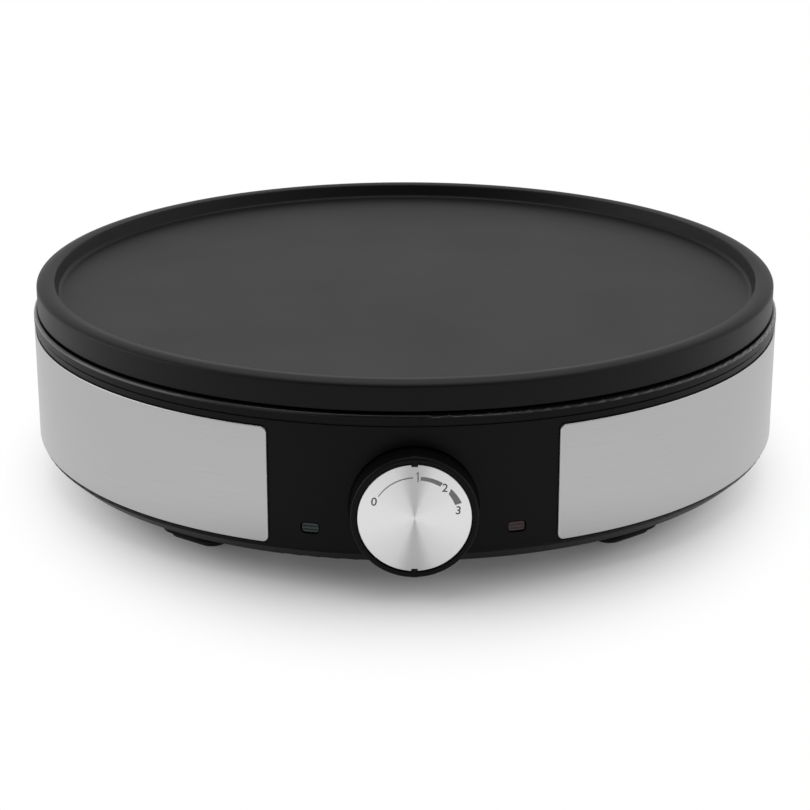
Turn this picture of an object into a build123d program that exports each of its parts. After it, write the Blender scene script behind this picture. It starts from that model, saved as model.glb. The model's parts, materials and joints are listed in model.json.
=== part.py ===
from build123d import *
from math import cos, radians, sin, tan
import os

# Electric crepe maker: a cast plate over a round housing, with one control knob in front.
# Millimetres, +Z up. The origin is where the axis of the round body meets the table. The
# front, with the knob, looks along -Y, and +X is to the right of someone facing the knob.

os.makedirs("parts", exist_ok=True)

# ------------------------------------------------------------------ driving dimensions
# Heights, from the table up
foot_height = 7.8           # table to the underside of the body
shell_height = 58.3         # underside of the body to the top of its flange
plate_gap = 0.8             # air between the flange and the plate's skirt
plate_height = 10.9         # lower edge of the skirt to the crest of the rim
knob_height = 31.0          # table to the knob's axis
lens_height = 21.7          # table to the middle of the indicator windows
cord_height = 25.0          # table to the middle of the cord gland

# Housing: the radius of its wall sets the size of the whole body
shell_radius = 152.0

# Baking plate
plate_inset = 1.0           # wall of the housing to the plate's skirt
plate_floor = 4.1           # metal under the cooking surface
tray_depth = 5.8            # rim down to the cooking surface
rim_width = 7.2             # domed ring round the tray
rim_dome = 4.5              # outer part of the rim, which curves down to the skirt
rim_drop = 2.0              # height of that curve
rim_sag = 0.3               # how far the rim falls from its crest to its inner edge
tray_lean = 1.6             # how far the tray's wall leans in on its way down
tray_fillet = 1.8
rim_inner_round = 0.9
skirt_width = 3.6
rail_width = 14.0           # ring under the plate that holds the heating element
rail_roof = 0.2             # metal left between the groove and the plate's floor
post_radius = 6.0           # posts that the plate stands on
post_length = 5.9
post_inset = 20.0           # wall of the housing to the posts' centres
post_angles = (-120, -60, 60, 120)
stud_radius = 4.5           # short studs that the reflector is screwed to
stud_circle = 60.0
stud_angles = (45, 135, 225, 315)
boss_root = 1.0             # how far posts and ribs run into the wall that carries them

# Heating element
element_radius = 3.3        # of the sheath
element_inset = 53.0        # edge of the plate to the middle of the sheath
element_gap_angle = 14.0    # half of the opening in the ring, at the rear
element_bend = 10.0
element_tail = 6.0          # straight end of the sheath, below the bend
seal_length = 6.0
pin_radius = 1.2
pin_length = 5.0
tab_width = 6.3
tab_thickness = 0.8
tab_length = 8.0

# Reflector pan
sheet = 0.6
reflector_reach = 19.6      # middle of the sheath to the rim of the pan
reflector_rim = 6.0

# Walls of the housing
shell_wall = 2.4
base_taper = 5.6            # how far the foot of the wall leans in
taper_height = 5.2          # underside of the body to the start of that lean
taper_step = 1.0            # how much higher the lean starts on the inside
taper_round = 2.0
base_round = 3.0            # rounded lower edge
base_lip = 2.5              # thickness of the lip round the base opening
base_ledge = 11.6           # wall to the opening that the base cover fills
flange_proud = 0.6
flange_band = 3.6           # height of the flange's outer face
flange_round = 1.3
flange_plate = 2.6          # thickness of the flange
flange_reach = 2.6          # how far the flange reaches in from the wall
groove_height = 0.9
groove_depth = 0.5
shelf_thickness = 3.4       # inner ring that the plate's posts stand on
shelf_width = 26.6
spacer_height = 3.4
spacer_radius = 5.5

# Steel panels
panel_sheet = 0.8
panel_proud = 0.6           # how far they stand out from the wall
panel_low = 14.5            # table to the lower edge
panel_height = 44.5
panel_front_angle = 20.2    # from the front to the near edge
panel_rear_angle = 157.5    # from the front to the far edge
panel_corner = 2.3
panel_outline = 0.5         # gap all round the panel
panel_seat_gap = 0.2        # behind the panel
panel_tab_width = 6.0
panel_tab_reach = 4.6
panel_tab_inset = 7.0       # from the panel's long edges
panel_tab_angles = (34, 62, 90, 118, 146)

# Knob and its recess
recess_radius = 23.6
recess_depth = 2.8          # wall of the housing to the recess floor
pad_radius = 26.0
pad_thickness = 3.0
knob_gap = 0.6              # recess floor to the knob's back edge
knob_proud = 10.0           # how far the knob stands out from the wall
knob_radius = 22.9
knob_side = 2.2             # wall of the knob
knob_round = 1.1
knob_web = 1.8              # wall behind the face disc
seat_radius = 20.8
seat_depth = 1.0
face_radius = 20.25
face_thickness = 0.85
rib_width = 2.2
rib_proud = 0.2
rib_bite = 0.6              # how far the ribs reach into the face disc
rib_round = 1.4
hub_radius = 5.5
hub_gap = 1.2               # recess floor to the hub's end
inner_rib = 1.4
inner_rib_height = 3.6
clip_wall = 1.0
clip_width = 3.0
clip_inset = 1.1            # from the hub's end
clip_slot = 2.0

# Thermostat
spindle_radius = 3.0
spindle_flat = 2.1          # axis to the flat of the D
spindle_play = 0.3          # end gap of the spindle and the pin
flat_length = 10.0
collar_radius = 4.8
collar_thickness = 1.5
finger_width = 2.4
finger_reach = 7.6
stop_inner = 5.6
stop_height = 2.0
stop_clearance = 0.3
turn_down = 66.0            # degrees from the rest position to "0"
turn_up = 79.0              # degrees from the rest position to "3"
bracket_setback = 17.2      # recess floor to the outer face of the bracket's upright leg
bracket_sheet = 1.2
bracket_width = 24.0
bracket_drop = 12.0         # knob's axis to the lower end of the upright leg
bracket_foot = 11.0         # length of the leg under the plate
bracket_bend = 1.6
bracket_screw_spacing = 14.0
bracket_screw_inset = 4.5
bush_radius = 4.5
bush_flange_radius = 8.0
bush_flange = 1.5
bush_tail = 2.2             # bush behind the bracket
bush_wall = 1.5             # end wall that guides the push pin
push_pin_radius = 1.5
push_pin_length = 4.5
stack_rise = 17.0           # knob's axis to the rivet through the stack
ring_radius = 5.5
ring_thin = 3.5
rivet_radius = 1.7
rivet_head_radius = 3.2
rivet_head = 1.2
spring_sheet = 0.4
blade_sheet = 0.6
bimetal_sheet = 0.8
blade_width = 7.0
blade_rise = 5.0            # rivet to the upper end of the strips
blade_tab_reach = 16.0
bimetal_drop = 14.0         # rivet to the lower end of the bimetal
bead_radius = 1.4
bead_drop = 9.0             # rivet to the bead
contact_radius = 2.0
contact_drop = 5.0          # knob's axis to the contacts
contact_margin = 0.5        # contacts to the lower end of the blades
contact_gap = 0.3

# Base cover and feet
cover_thickness = 2.5
cover_screw_inset = 19.0    # wall of the housing to the screws
cover_screw_angles = (-158, -90, -22, 22, 90, 158)
cover_post_radius = 4.5
cover_post_height = 9.0
cover_post_roof = 2.0       # plastic left over the screw's hole
cover_web = 2.4
foot_inset = 21.4           # wall of the housing to the feet's centres
foot_angles = {
    "foot_front_left": -38,
    "foot_front_right": 38,
    "foot_rear_left": -142,
    "foot_rear_right": 142,
}
foot_length = 25.0          # along the edge of the body
foot_width = 12.2
foot_round = 1.2
foot_grip = 1.2             # depth of the socket that holds the foot
foot_web = 1.8              # rubber over the head of the screw
pod_margin = 2.9            # plastic round the foot
pod_drop = 4.8
tower_radius = 4.2
tower_height = 8.0
vent_rings = {82.0: 24, 55.0: 36}   # wall to the middle of each ring, and its vents
vent_length = 20.0
vent_width = 3.2

# Cord gland
gland_proud = 10.0          # how far the nose stands out from the wall
gland_bore = 3.6
gland_neck = 6.0
gland_flange = 8.5
gland_nose = 5.6
gland_pad_radius = 11.5
gland_pad_proud = 2.0       # wall of the housing to the pad's face
gland_pad_depth = 5.0       # wall of the housing to the pad's back
gland_inner_flange = 2.0
gland_outer_flange = 2.4

# Indicator lamps
lens_angle = 14.2
lens_width = 6.7
lens_tall = 4.0
lens_corner = 1.5
lens_gap = 0.25
lens_recess = 0.4
lens_rim = 1.3              # width of the lens's inner flange
lens_rim_thickness = 1.0
holder_width = 16.0
holder_tall = 8.0
holder_deep = 7.0
holder_leg = 1.4
lamp_radius = 2.6
lamp_length = 12.0

# Terminal block
block_width = 37.0
block_deep = 16.0
block_tall = 14.0
block_inset = 33.0          # wall of the housing to the middle of the block
block_pad_height = 2.0
block_pad_radius = 3.6
block_screw_spacing = 12.0
pole_spacing = 12.0
pole_radius = 2.6
pole_wall = 0.9
pole_height = 7.5
pole_well = 1.9
clamp_radius = 1.4

# Thermal fuse, earth tab and leads
fuse_radius = 1.9
fuse_length = 11.0
fuse_wire = 0.5
fuse_wire_reach = 15.0      # middle of the fuse to the end of its wire
sleeve_wall = 0.9
sleeve_length = 34.0
fuse_x = 44.0
fuse_y = 20.0
fuse_clip_width = 8.0
fuse_clip_foot = 5.0
earth_x = 22.0
earth_inset = 24.0          # circle of the sheath to the tab, along Y
earth_foot = 8.0
lead_radius = 1.1
lead_grip = 6.0             # length of a lead inside the terminal block
lead_exit = 5.0             # straight run of a lead in front of the block
terminal_rise = 10.5        # straight run of a lead up to a terminal tab
lamp_exit = 9.0             # straight run of a lead beside a lamp

# Fasteners: shank radius, head radius, head height
plate_screw = (2.0, 4.0, 2.4)
cover_screw = (1.5, 3.2, 1.8)
foot_screw = (1.5, 3.4, 2.0)
small_screw = (1.4, 2.6, 1.6)
drive_width = 0.9
drive_depth = 1.0

# Fits
slip = 0.1                  # radial room of pieces that sit in a hole
running = 0.05              # radial room of pieces that turn or slide
loose = 0.4                 # radial room round screws, the cover and the spindle
overlap = 0.2               # how far a feature runs into the one that carries it

# ------------------------------------------------------------------ derived heights and distances
# distances of the pieces in front and at the rear are from the body's axis
base_z = foot_height
flange_z = base_z + shell_height
skirt_z = flange_z + plate_gap
rim_z = skirt_z + plate_height
cook_z = rim_z - tray_depth
plate_under_z = cook_z - plate_floor
groove_radius = element_radius + slip
rail_z = plate_under_z - rail_roof - 2 * groove_radius
element_z = rail_z + groove_radius
post_z = plate_under_z - post_length
shelf_top = post_z - spacer_height
shelf_low = shelf_top - shelf_thickness
plate_radius = shell_radius - plate_inset
post_circle = shell_radius - post_inset
element_circle = plate_radius - element_inset
reflector_radius = element_circle + reflector_reach
rim_inner_radius = plate_radius - rim_width
tray_radius = rim_inner_radius - tray_lean
crest_radius = plate_radius - rim_dome
flange_radius = shell_radius + flange_proud
shell_inner = shell_radius - shell_wall
base_opening = shell_radius - base_ledge
flange_inner = shell_inner - flange_reach
shelf_inner = shell_inner - shelf_width
cover_screw_circle = shell_radius - cover_screw_inset
foot_circle = shell_radius - foot_inset
block_distance = shell_radius - block_inset
gland_front = shell_radius + gland_proud
gland_pad_front = shell_radius + gland_pad_proud
gland_pad_back = shell_radius - gland_pad_depth
recess_floor = shell_radius - recess_depth
knob_front = shell_radius + knob_proud
bracket_front = recess_floor - bracket_setback
stack_height = knob_height + stack_rise
blade_top = stack_height + blade_rise
bimetal_low = stack_height - bimetal_drop
bead_height = stack_height - bead_drop
contact_height = knob_height - contact_drop
blade_low = contact_height - contact_radius - contact_margin
bracket_low = knob_height - bracket_drop
earth_y = element_circle - earth_inset
groove_top = flange_z - flange_band
groove_low = groove_top - groove_height
panel_radius = shell_radius + panel_proud
panel_back = panel_radius - panel_sheet
panel_floor = panel_back - panel_seat_gap
pad_back = recess_floor - pad_thickness
knob_back = recess_floor + knob_gap
face_back = knob_front - seat_depth
knob_cavity = face_back - knob_web
hub_back = recess_floor + hub_gap
bracket_back = bracket_front - bracket_sheet
bush_front = bracket_front + bush_flange
bush_back = bracket_back - bush_tail
bore_floor = bush_back + bush_wall
spindle_back = bore_floor + spindle_play
spindle_front = knob_cavity - spindle_play
pin_front = spindle_back - spindle_play
pin_back = pin_front - push_pin_length
contact_blade_front = pin_back - spindle_play
contact_blade_back = contact_blade_front - spring_sheet
fixed_blade_front = contact_blade_back - ring_thin
fixed_blade_back = fixed_blade_front - blade_sheet
bimetal_front = fixed_blade_back - ring_thin
bimetal_back = bimetal_front - bimetal_sheet
taper_top = base_z + taper_height
lip_top = base_z + base_lip
lip_radius = shell_inner - base_taper * (taper_top + taper_step - lip_top) / taper_height
cover_top = base_z + cover_thickness
pod_z = base_z - pod_drop
foot_top = pod_z + foot_grip
foot_well = foot_top - foot_web
bracket_top = plate_under_z - post_length
lens_face = shell_radius - lens_recess
lens_seat = shell_inner - slip
holder_front = lens_seat - lens_rim_thickness
lamp_distance = holder_front - holder_deep / 2
reflector_z = rail_z - sheet


# ------------------------------------------------------------------ helpers
def around(radius, angle):
    """Point on a circle about the body's axis. The angle runs from the front towards +X."""
    return (radius * sin(radians(angle)), -radius * cos(radians(angle)))


def wall_plane(angle, height, distance):
    """Plane that faces outwards from the round body."""
    x, y = around(distance, angle)
    sine, cosine = sin(radians(angle)), cos(radians(angle))
    return Plane(origin=(x, y, height), x_dir=(cosine, sine, 0), z_dir=(sine, -cosine, 0))


def axle_plane(distance):
    """Plane across the knob's axis, in front of the body's axis."""
    return wall_plane(0, knob_height, distance)


def stack_plane(distance):
    """Plane across the rivet of the thermostat's stack."""
    return wall_plane(0, stack_height, distance)


def rounds(points, radius, low, high, mode=Mode.ADD):
    """Upright round posts or holes between two heights."""
    with BuildSketch(Plane.XY.offset(low)) as circles:
        with Locations(*points):
            Circle(radius)
    extrude(circles.sketch, amount=high - low, mode=mode)


def oblongs(margin, low, high, mode=Mode.ADD):
    """Oblong posts or holes where the feet are, a margin larger than a foot."""
    with BuildSketch(Plane.XY.offset(low)) as slots:
        for name, (x, y) in foot_points.items():
            with Locations(Location((x, y, 0), (0, 0, foot_angles[name]))):
                SlotOverall(foot_length + 2 * margin, foot_width + 2 * margin)
    extrude(slots.sketch, amount=high - low, mode=mode)


def disc(plane, radius, thickness, mode=Mode.ADD):
    """Round disc that stands on a plane."""
    with BuildSketch(plane) as circle:
        Circle(radius)
    extrude(circle.sketch, amount=thickness, mode=mode)


def block(plane, x_size, y_size, thickness, mode=Mode.ADD, centre=(0, 0)):
    """Rectangular block that stands on a plane."""
    with BuildSketch(plane) as rectangle:
        with Locations(centre):
            Rectangle(x_size, y_size)
    extrude(rectangle.sketch, amount=thickness, mode=mode)


def screws(points, seat, length, size, sense=1):
    """Pan-head screws. The shank runs from the seat up (1) or down (-1)."""
    shank_radius, head_radius, head_height = size
    head_end = seat - sense * head_height
    rounds(points, shank_radius, seat, seat + sense * length)
    rounds(points, head_radius, seat, head_end)
    with BuildSketch(Plane.XY.offset(head_end)) as cross:
        with Locations(*points):
            Rectangle(drive_width, head_radius)
            Rectangle(head_radius, drive_width)
    extrude(cross.sketch, amount=sense * drive_depth, mode=Mode.SUBTRACT)


def corner_radii(points):
    """One radius for each corner of a lead, as large as its two runs allow."""
    radii = []
    for before, corner, after in zip(points, points[1:], points[2:]):
        run_in = Vector(*corner) - Vector(*before)
        run_out = Vector(*after) - Vector(*corner)
        half_turn = radians(run_in.get_angle(run_out)) / 2
        radii.append(0.45 * min(run_in.length, run_out.length) / tan(half_turn))
    return radii


def housing_limit(top):
    """Half section of all that lies inside the housing's outer face, up to a height."""
    with BuildSketch(Plane.XZ) as section:
        with BuildLine():
            Polyline(
                (0, base_z),
                (shell_radius - base_taper, base_z),
                (shell_radius, taper_top),
                (shell_radius, top),
                (0, top),
                close=True,
            )
        make_face()
        low_corner = section.vertices().sort_by_distance((shell_radius - base_taper, base_z))[0]
        fillet(low_corner, base_round)
        fillet(section.vertices().sort_by_distance((shell_radius, taper_top))[0], taper_round)
    return section.sketch


def save(piece, name):
    """Label a finished piece and write it as the node of that name."""
    piece.part.label = name
    export_step(piece.part, f"parts/{name}.step")


knob_axis = Axis((0, 0, knob_height), (0, -1, 0))
knob_section = Plane(origin=(0, 0, knob_height), x_dir=(1, 0, 0), z_dir=(0, 0, -1))
knob_upright = Plane(origin=(0, 0, knob_height), x_dir=(0, 0, 1), z_dir=(1, 0, 0))
gland_axis = Axis((0, 0, cord_height), (0, 1, 0))
gland_section = Plane(origin=(0, 0, cord_height), x_dir=(1, 0, 0), z_dir=(0, 0, 1))
post_points = [around(post_circle, angle) for angle in post_angles]
stud_points = [around(stud_circle, angle) for angle in stud_angles]
cover_points = [around(cover_screw_circle, angle) for angle in cover_screw_angles]
foot_points = {name: around(foot_circle, angle) for name, angle in foot_angles.items()}
bracket_screw_y = -(bracket_back - bracket_screw_inset)
bracket_points = [(side * bracket_screw_spacing / 2, bracket_screw_y) for side in (-1, 1)]
block_points = [(side * block_screw_spacing / 2, block_distance) for side in (-1, 1)]
block_z = cover_top + block_pad_height
pole_points = [(place * pole_spacing, block_distance) for place in (-1, 0, 1)]

# ------------------------------------------------------------------ baking plate
with BuildPart() as baking_plate:
    with BuildSketch(Plane.XZ) as plate_section:
        with BuildLine():
            EllipticalCenterArc((crest_radius, rim_z - rim_drop), rim_dome, rim_drop, arc_size=90)
            Polyline(
                (crest_radius, rim_z),
                (rim_inner_radius, rim_z - rim_sag),
                (tray_radius, cook_z),
                (0, cook_z),
                (0, plate_under_z),
                (plate_radius - skirt_width, plate_under_z),
                (plate_radius - skirt_width, skirt_z),
                (plate_radius, skirt_z),
                (plate_radius, rim_z - rim_drop),
            )
        make_face()
        fillet(plate_section.vertices().sort_by_distance((tray_radius, cook_z))[0], tray_fillet)
        inner_edge = (rim_inner_radius, rim_z - rim_sag)
        fillet(plate_section.vertices().sort_by_distance(inner_edge)[0], rim_inner_round)
    revolve(axis=Axis.Z)
    with BuildSketch(Plane.XZ) as rail_section:
        with Locations((element_circle, (rail_z + plate_under_z + overlap) / 2)):
            Rectangle(rail_width, plate_under_z + overlap - rail_z)
        with Locations((element_circle, element_z)):
            Circle(groove_radius, mode=Mode.SUBTRACT)
        with Locations((element_circle, (rail_z + element_z) / 2)):
            Rectangle(2 * groove_radius, element_z - rail_z, mode=Mode.SUBTRACT)
    revolve(axis=Axis.Z)
    # the rail is open at the rear, where the element's ends turn down
    rail_opening = 2 * element_circle * sin(radians(element_gap_angle))
    block(
        Plane.XY.offset(rail_z),
        rail_opening,
        2 * rail_width,
        plate_under_z - rail_z,
        Mode.SUBTRACT,
        centre=(0, element_circle),
    )
    rounds(post_points, post_radius, post_z, plate_under_z + boss_root)
    rounds(stud_points, stud_radius, rail_z, plate_under_z + boss_root)
    block(
        Plane.XY.offset(bracket_top),
        bracket_width,
        bracket_foot,
        plate_under_z + boss_root - bracket_top,
        centre=(0, -(bracket_front - bracket_foot / 2)),
    )
    post_hole_top = cook_z - plate_floor / 2
    rounds(post_points, plate_screw[0] + running, post_z, post_hole_top, Mode.SUBTRACT)
    rounds(stud_points, small_screw[0] + running, rail_z, plate_under_z, Mode.SUBTRACT)
    rounds(bracket_points, small_screw[0] + running, bracket_top, plate_under_z, Mode.SUBTRACT)
save(baking_plate, "baking_plate")

# ------------------------------------------------------------------ heating element
ring_end = 180 - element_gap_angle
end_x, end_y = around(element_circle, ring_end)
tangent_x, tangent_y = cos(radians(ring_end)), sin(radians(ring_end))
tail_x = end_x + tangent_x * element_bend
tail_y = end_y + tangent_y * element_bend
tail_top = element_z - element_bend
tail_end = tail_top - element_tail
bend_x = end_x + tangent_x * element_bend * sin(radians(45))
bend_y = end_y + tangent_y * element_bend * sin(radians(45))
bend_z = element_z - element_bend * (1 - cos(radians(45)))
tail_points = [(tail_x, tail_y), (-tail_x, tail_y)]

with BuildPart() as heating_element:
    with BuildLine() as sheath_path:
        Line((tail_x, tail_y, tail_end), (tail_x, tail_y, tail_top))
        ThreePointArc((tail_x, tail_y, tail_top), (bend_x, bend_y, bend_z), (end_x, end_y, element_z))
        ThreePointArc((end_x, end_y, element_z), (0, -element_circle, element_z), (-end_x, end_y, element_z))
        ThreePointArc((-end_x, end_y, element_z), (-bend_x, bend_y, bend_z), (-tail_x, tail_y, tail_top))
        Line((-tail_x, tail_y, tail_top), (-tail_x, tail_y, tail_end))
    with BuildSketch(Plane.XY.offset(tail_end)) as sheath_round:
        with Locations((tail_x, tail_y)):
            Circle(element_radius)
    sweep(path=sheath_path.wires()[0])
save(heating_element, "heating_element")

seal_end = tail_end - seal_length
with BuildPart() as element_seals:
    rounds(tail_points, element_radius, seal_end, tail_end)
    rounds(tail_points, pin_radius + slip, seal_end, tail_end, Mode.SUBTRACT)
save(element_seals, "element_seals")

tab_top = seal_end - pin_length
with BuildPart() as element_terminals:
    rounds(tail_points, pin_radius, tab_top, tail_end)
    with BuildSketch(Plane.XY.offset(tab_top + overlap)) as tab_sections:
        with Locations(*tail_points):
            Rectangle(tab_width, tab_thickness)
    extrude(amount=-tab_length)
save(element_terminals, "element_terminals")

# ------------------------------------------------------------------ reflector pan
with BuildPart() as heat_reflector:
    disc(Plane.XY.offset(reflector_z), reflector_radius, reflector_rim)
    disc(Plane.XY.offset(rail_z), reflector_radius - sheet, reflector_rim, Mode.SUBTRACT)
    rounds(stud_points, small_screw[0] + slip, reflector_z, rail_z, Mode.SUBTRACT)
    with BuildSketch(Plane.XY.offset(reflector_z)) as sheath_slots:
        for side in (-1, 1):
            slot_middle = (side * (end_x + tail_x) / 2, (end_y + tail_y) / 2, 0)
            with Locations(Location(slot_middle, (0, 0, -side * element_gap_angle))):
                SlotOverall(2 * (element_bend + element_radius), 2 * (element_radius + loose))
    extrude(amount=sheet, mode=Mode.SUBTRACT)
save(heat_reflector, "heat_reflector")

with BuildPart() as reflector_screws:
    screws(stud_points, reflector_z, plate_under_z - rail_z, small_screw)
save(reflector_screws, "reflector_screws")

# ------------------------------------------------------------------ plate spacers and screws
with BuildPart() as plate_spacers:
    rounds(post_points, spacer_radius, shelf_top, post_z)
    rounds(post_points, plate_screw[0] + slip, shelf_top, post_z, Mode.SUBTRACT)
save(plate_spacers, "plate_spacers")

with BuildPart() as plate_screws:
    screws(post_points, shelf_low, post_hole_top - shelf_low - slip, plate_screw)
save(plate_screws, "plate_screws")

# ------------------------------------------------------------------ body shell
# Flat pad behind the knob's recess, trimmed to the round outside of the body
with BuildPart() as knob_pad:
    disc(axle_plane(pad_back), pad_radius, shell_radius - pad_back)
    revolve(housing_limit(groove_low), axis=Axis.Z, mode=Mode.INTERSECT)

# Webs between the cover posts and the wall, trimmed in the same way
with BuildPart() as cover_webs:
    for angle in cover_screw_angles:
        web_plane = wall_plane(angle, cover_top, cover_screw_circle)
        block(
            web_plane,
            cover_web,
            cover_post_height,
            shell_inner + overlap - cover_screw_circle,
            centre=(0, cover_post_height / 2),
        )
    revolve(housing_limit(shelf_low), axis=Axis.Z, mode=Mode.INTERSECT)


def panel_sector(inner, outer, low, high, front_angle, rear_angle, corner):
    """Curved plate on the right side of the body, with rounded corners."""
    with BuildPart() as sector:
        with BuildSketch(Plane.XY.offset(low)):
            with BuildLine():
                near_in, near_out = around(inner, front_angle), around(outer, front_angle)
                far_in, far_out = around(inner, rear_angle), around(outer, rear_angle)
                middle = (front_angle + rear_angle) / 2
                Line(near_in, near_out)
                ThreePointArc(near_out, around(outer, middle), far_out)
                Line(far_out, far_in)
                ThreePointArc(far_in, around(inner, middle), near_in)
            make_face()
        extrude(amount=high - low)
        short_edges = sector.edges().filter_by(lambda edge: abs(edge.length - (outer - inner)) < 0.001)
        fillet(short_edges, corner)
    return sector.part


panel_recess = panel_sector(
    panel_floor,
    panel_radius + flange_proud,
    panel_low - panel_outline,
    panel_low + panel_height + panel_outline,
    panel_front_angle - panel_outline / radians(1) / panel_radius,
    panel_rear_angle + panel_outline / radians(1) / panel_radius,
    panel_corner + panel_outline,
)
panel_tab_heights = (panel_low + panel_tab_inset, panel_low + panel_height - panel_tab_inset)

with BuildPart() as body_shell:
    with BuildSketch(Plane.XZ) as wall_section:
        with BuildLine():
            Polyline(
                (base_opening, base_z),
                (shell_radius - base_taper, base_z),
                (shell_radius, taper_top),
                (shell_radius, groove_low),
                (shell_radius - groove_depth, groove_low),
                (shell_radius - groove_depth, groove_top),
                (flange_radius, groove_top),
                (flange_radius, flange_z),
                (flange_inner, flange_z),
                (flange_inner, flange_z - flange_plate),
                (shell_inner, flange_z - flange_plate),
                (shell_inner, shelf_top),
                (shelf_inner, shelf_top),
                (shelf_inner, shelf_low),
                (shell_inner, shelf_low),
                (shell_inner, taper_top + taper_step),
                (lip_radius, lip_top),
                (base_opening, lip_top),
                close=True,
            )
        make_face()
        wall_corners = wall_section.vertices()
        fillet(wall_corners.sort_by_distance((shell_radius - base_taper, base_z))[0], base_round)
        wall_corners = wall_section.vertices()
        fillet(wall_corners.sort_by_distance((shell_radius, taper_top))[0], taper_round)
        fillet(wall_section.vertices().sort_by_distance((flange_radius, flange_z))[0], flange_round)
    revolve(axis=Axis.Z)
    add(knob_pad.part)
    add(cover_webs.part)
    rounds(cover_points, cover_post_radius, cover_top, cover_top + cover_post_height)
    # flat pad for the cord gland
    gland_pad_plane = wall_plane(180, cord_height, gland_pad_back)
    disc(gland_pad_plane, gland_pad_radius, gland_pad_front - gland_pad_back)
    # openings
    disc(axle_plane(recess_floor), recess_radius, knob_front - recess_floor, Mode.SUBTRACT)
    disc(axle_plane(pad_back), spindle_radius + loose, pad_thickness, Mode.SUBTRACT)
    disc(gland_pad_plane, gland_neck + slip, gland_pad_front - gland_pad_back, Mode.SUBTRACT)
    for angle in (-lens_angle, lens_angle):
        with BuildSketch(wall_plane(angle, lens_height, holder_front)) as window:
            RectangleRounded(
                lens_width + 2 * lens_gap, lens_tall + 2 * lens_gap, lens_corner + lens_gap
            )
        extrude(window.sketch, amount=shell_radius + shell_wall - holder_front, mode=Mode.SUBTRACT)
    cover_hole_top = cover_top + cover_post_height - cover_post_roof
    rounds(cover_points, cover_screw[0] + running, cover_top, cover_hole_top, Mode.SUBTRACT)
    rounds(post_points, plate_screw[0] + loose, shelf_low, shelf_top, Mode.SUBTRACT)
    # notch in the shelf for the thermostat bracket
    notch_width = bracket_width + 2 * shell_wall
    notch_depth = bracket_front + shell_wall - shelf_inner + boss_root
    block(
        Plane.XY.offset(shelf_low),
        notch_width,
        notch_depth,
        shelf_thickness,
        Mode.SUBTRACT,
        centre=(0, -(bracket_front + shell_wall - notch_depth / 2)),
    )
    # steel panels: recesses and tab slots
    add(panel_recess, mode=Mode.SUBTRACT)
    add(mirror(panel_recess, about=Plane.YZ, mode=Mode.PRIVATE), mode=Mode.SUBTRACT)
    for angle in panel_tab_angles:
        for side in (-1, 1):
            for height in panel_tab_heights:
                block(
                    wall_plane(side * angle, height, shell_inner - shell_wall),
                    panel_tab_width + 2 * loose,
                    panel_sheet + 2 * loose,
                    2 * shell_wall,
                    Mode.SUBTRACT,
                )
save(body_shell, "body_shell")

# ------------------------------------------------------------------ steel panels
panel_plate = panel_sector(
    panel_back,
    panel_radius,
    panel_low,
    panel_low + panel_height,
    panel_front_angle,
    panel_rear_angle,
    panel_corner,
)
with BuildPart() as steel_panel_right:
    add(panel_plate)
    for angle in panel_tab_angles:
        for height in panel_tab_heights:
            block(
                wall_plane(angle, height, panel_back - panel_tab_reach),
                panel_tab_width,
                panel_sheet,
                panel_tab_reach + overlap,
            )
save(steel_panel_right, "steel_panel_right")

with BuildPart() as steel_panel_left:
    add(mirror(steel_panel_right.part, about=Plane.YZ, mode=Mode.PRIVATE))
save(steel_panel_left, "steel_panel_left")

# ------------------------------------------------------------------ base cover and feet
with BuildPart() as base_cover:
    disc(Plane.XY.offset(base_z), base_opening - loose, cover_thickness)
    oblongs(pod_margin, pod_z, base_z + overlap)
    rounds(foot_points.values(), tower_radius, cover_top - overlap, cover_top + tower_height)
    rounds(block_points, block_pad_radius, cover_top - overlap, block_z)
    oblongs(slip, pod_z, foot_top, Mode.SUBTRACT)
    tower_hole_top = cover_top + tower_height - cover_thickness
    rounds(foot_points.values(), foot_screw[0] + running, foot_top, tower_hole_top, Mode.SUBTRACT)
    rounds(cover_points, cover_screw[0] + loose, base_z, cover_top, Mode.SUBTRACT)
    rounds(block_points, small_screw[0] + running, base_z, block_z, Mode.SUBTRACT)
    for inset, count in vent_rings.items():
        with BuildSketch(Plane.XY.offset(base_z)) as vents:
            with PolarLocations(shell_radius - inset, count):
                SlotOverall(vent_length, vent_width)
        extrude(vents.sketch, amount=cover_thickness, mode=Mode.SUBTRACT)
save(base_cover, "base_cover")

with BuildPart() as cover_screws:
    screws(cover_points, base_z, cover_hole_top - base_z - slip, cover_screw)
save(cover_screws, "cover_screws")

with BuildPart() as all_feet:
    oblongs(0, 0, foot_top)
    fillet(all_feet.edges().group_by(Axis.Z)[0], foot_round)
    rounds(foot_points.values(), foot_screw[1] + loose, 0, foot_well, Mode.SUBTRACT)
    rounds(foot_points.values(), foot_screw[0] + slip, foot_well, foot_top, Mode.SUBTRACT)
for name, point in foot_points.items():
    with BuildPart() as foot:
        add(all_feet.solids().sort_by_distance(point)[0])
    save(foot, name)

with BuildPart() as foot_screws:
    screws(foot_points.values(), foot_well, tower_hole_top - foot_well - slip, foot_screw)
save(foot_screws, "foot_screws")

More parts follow.
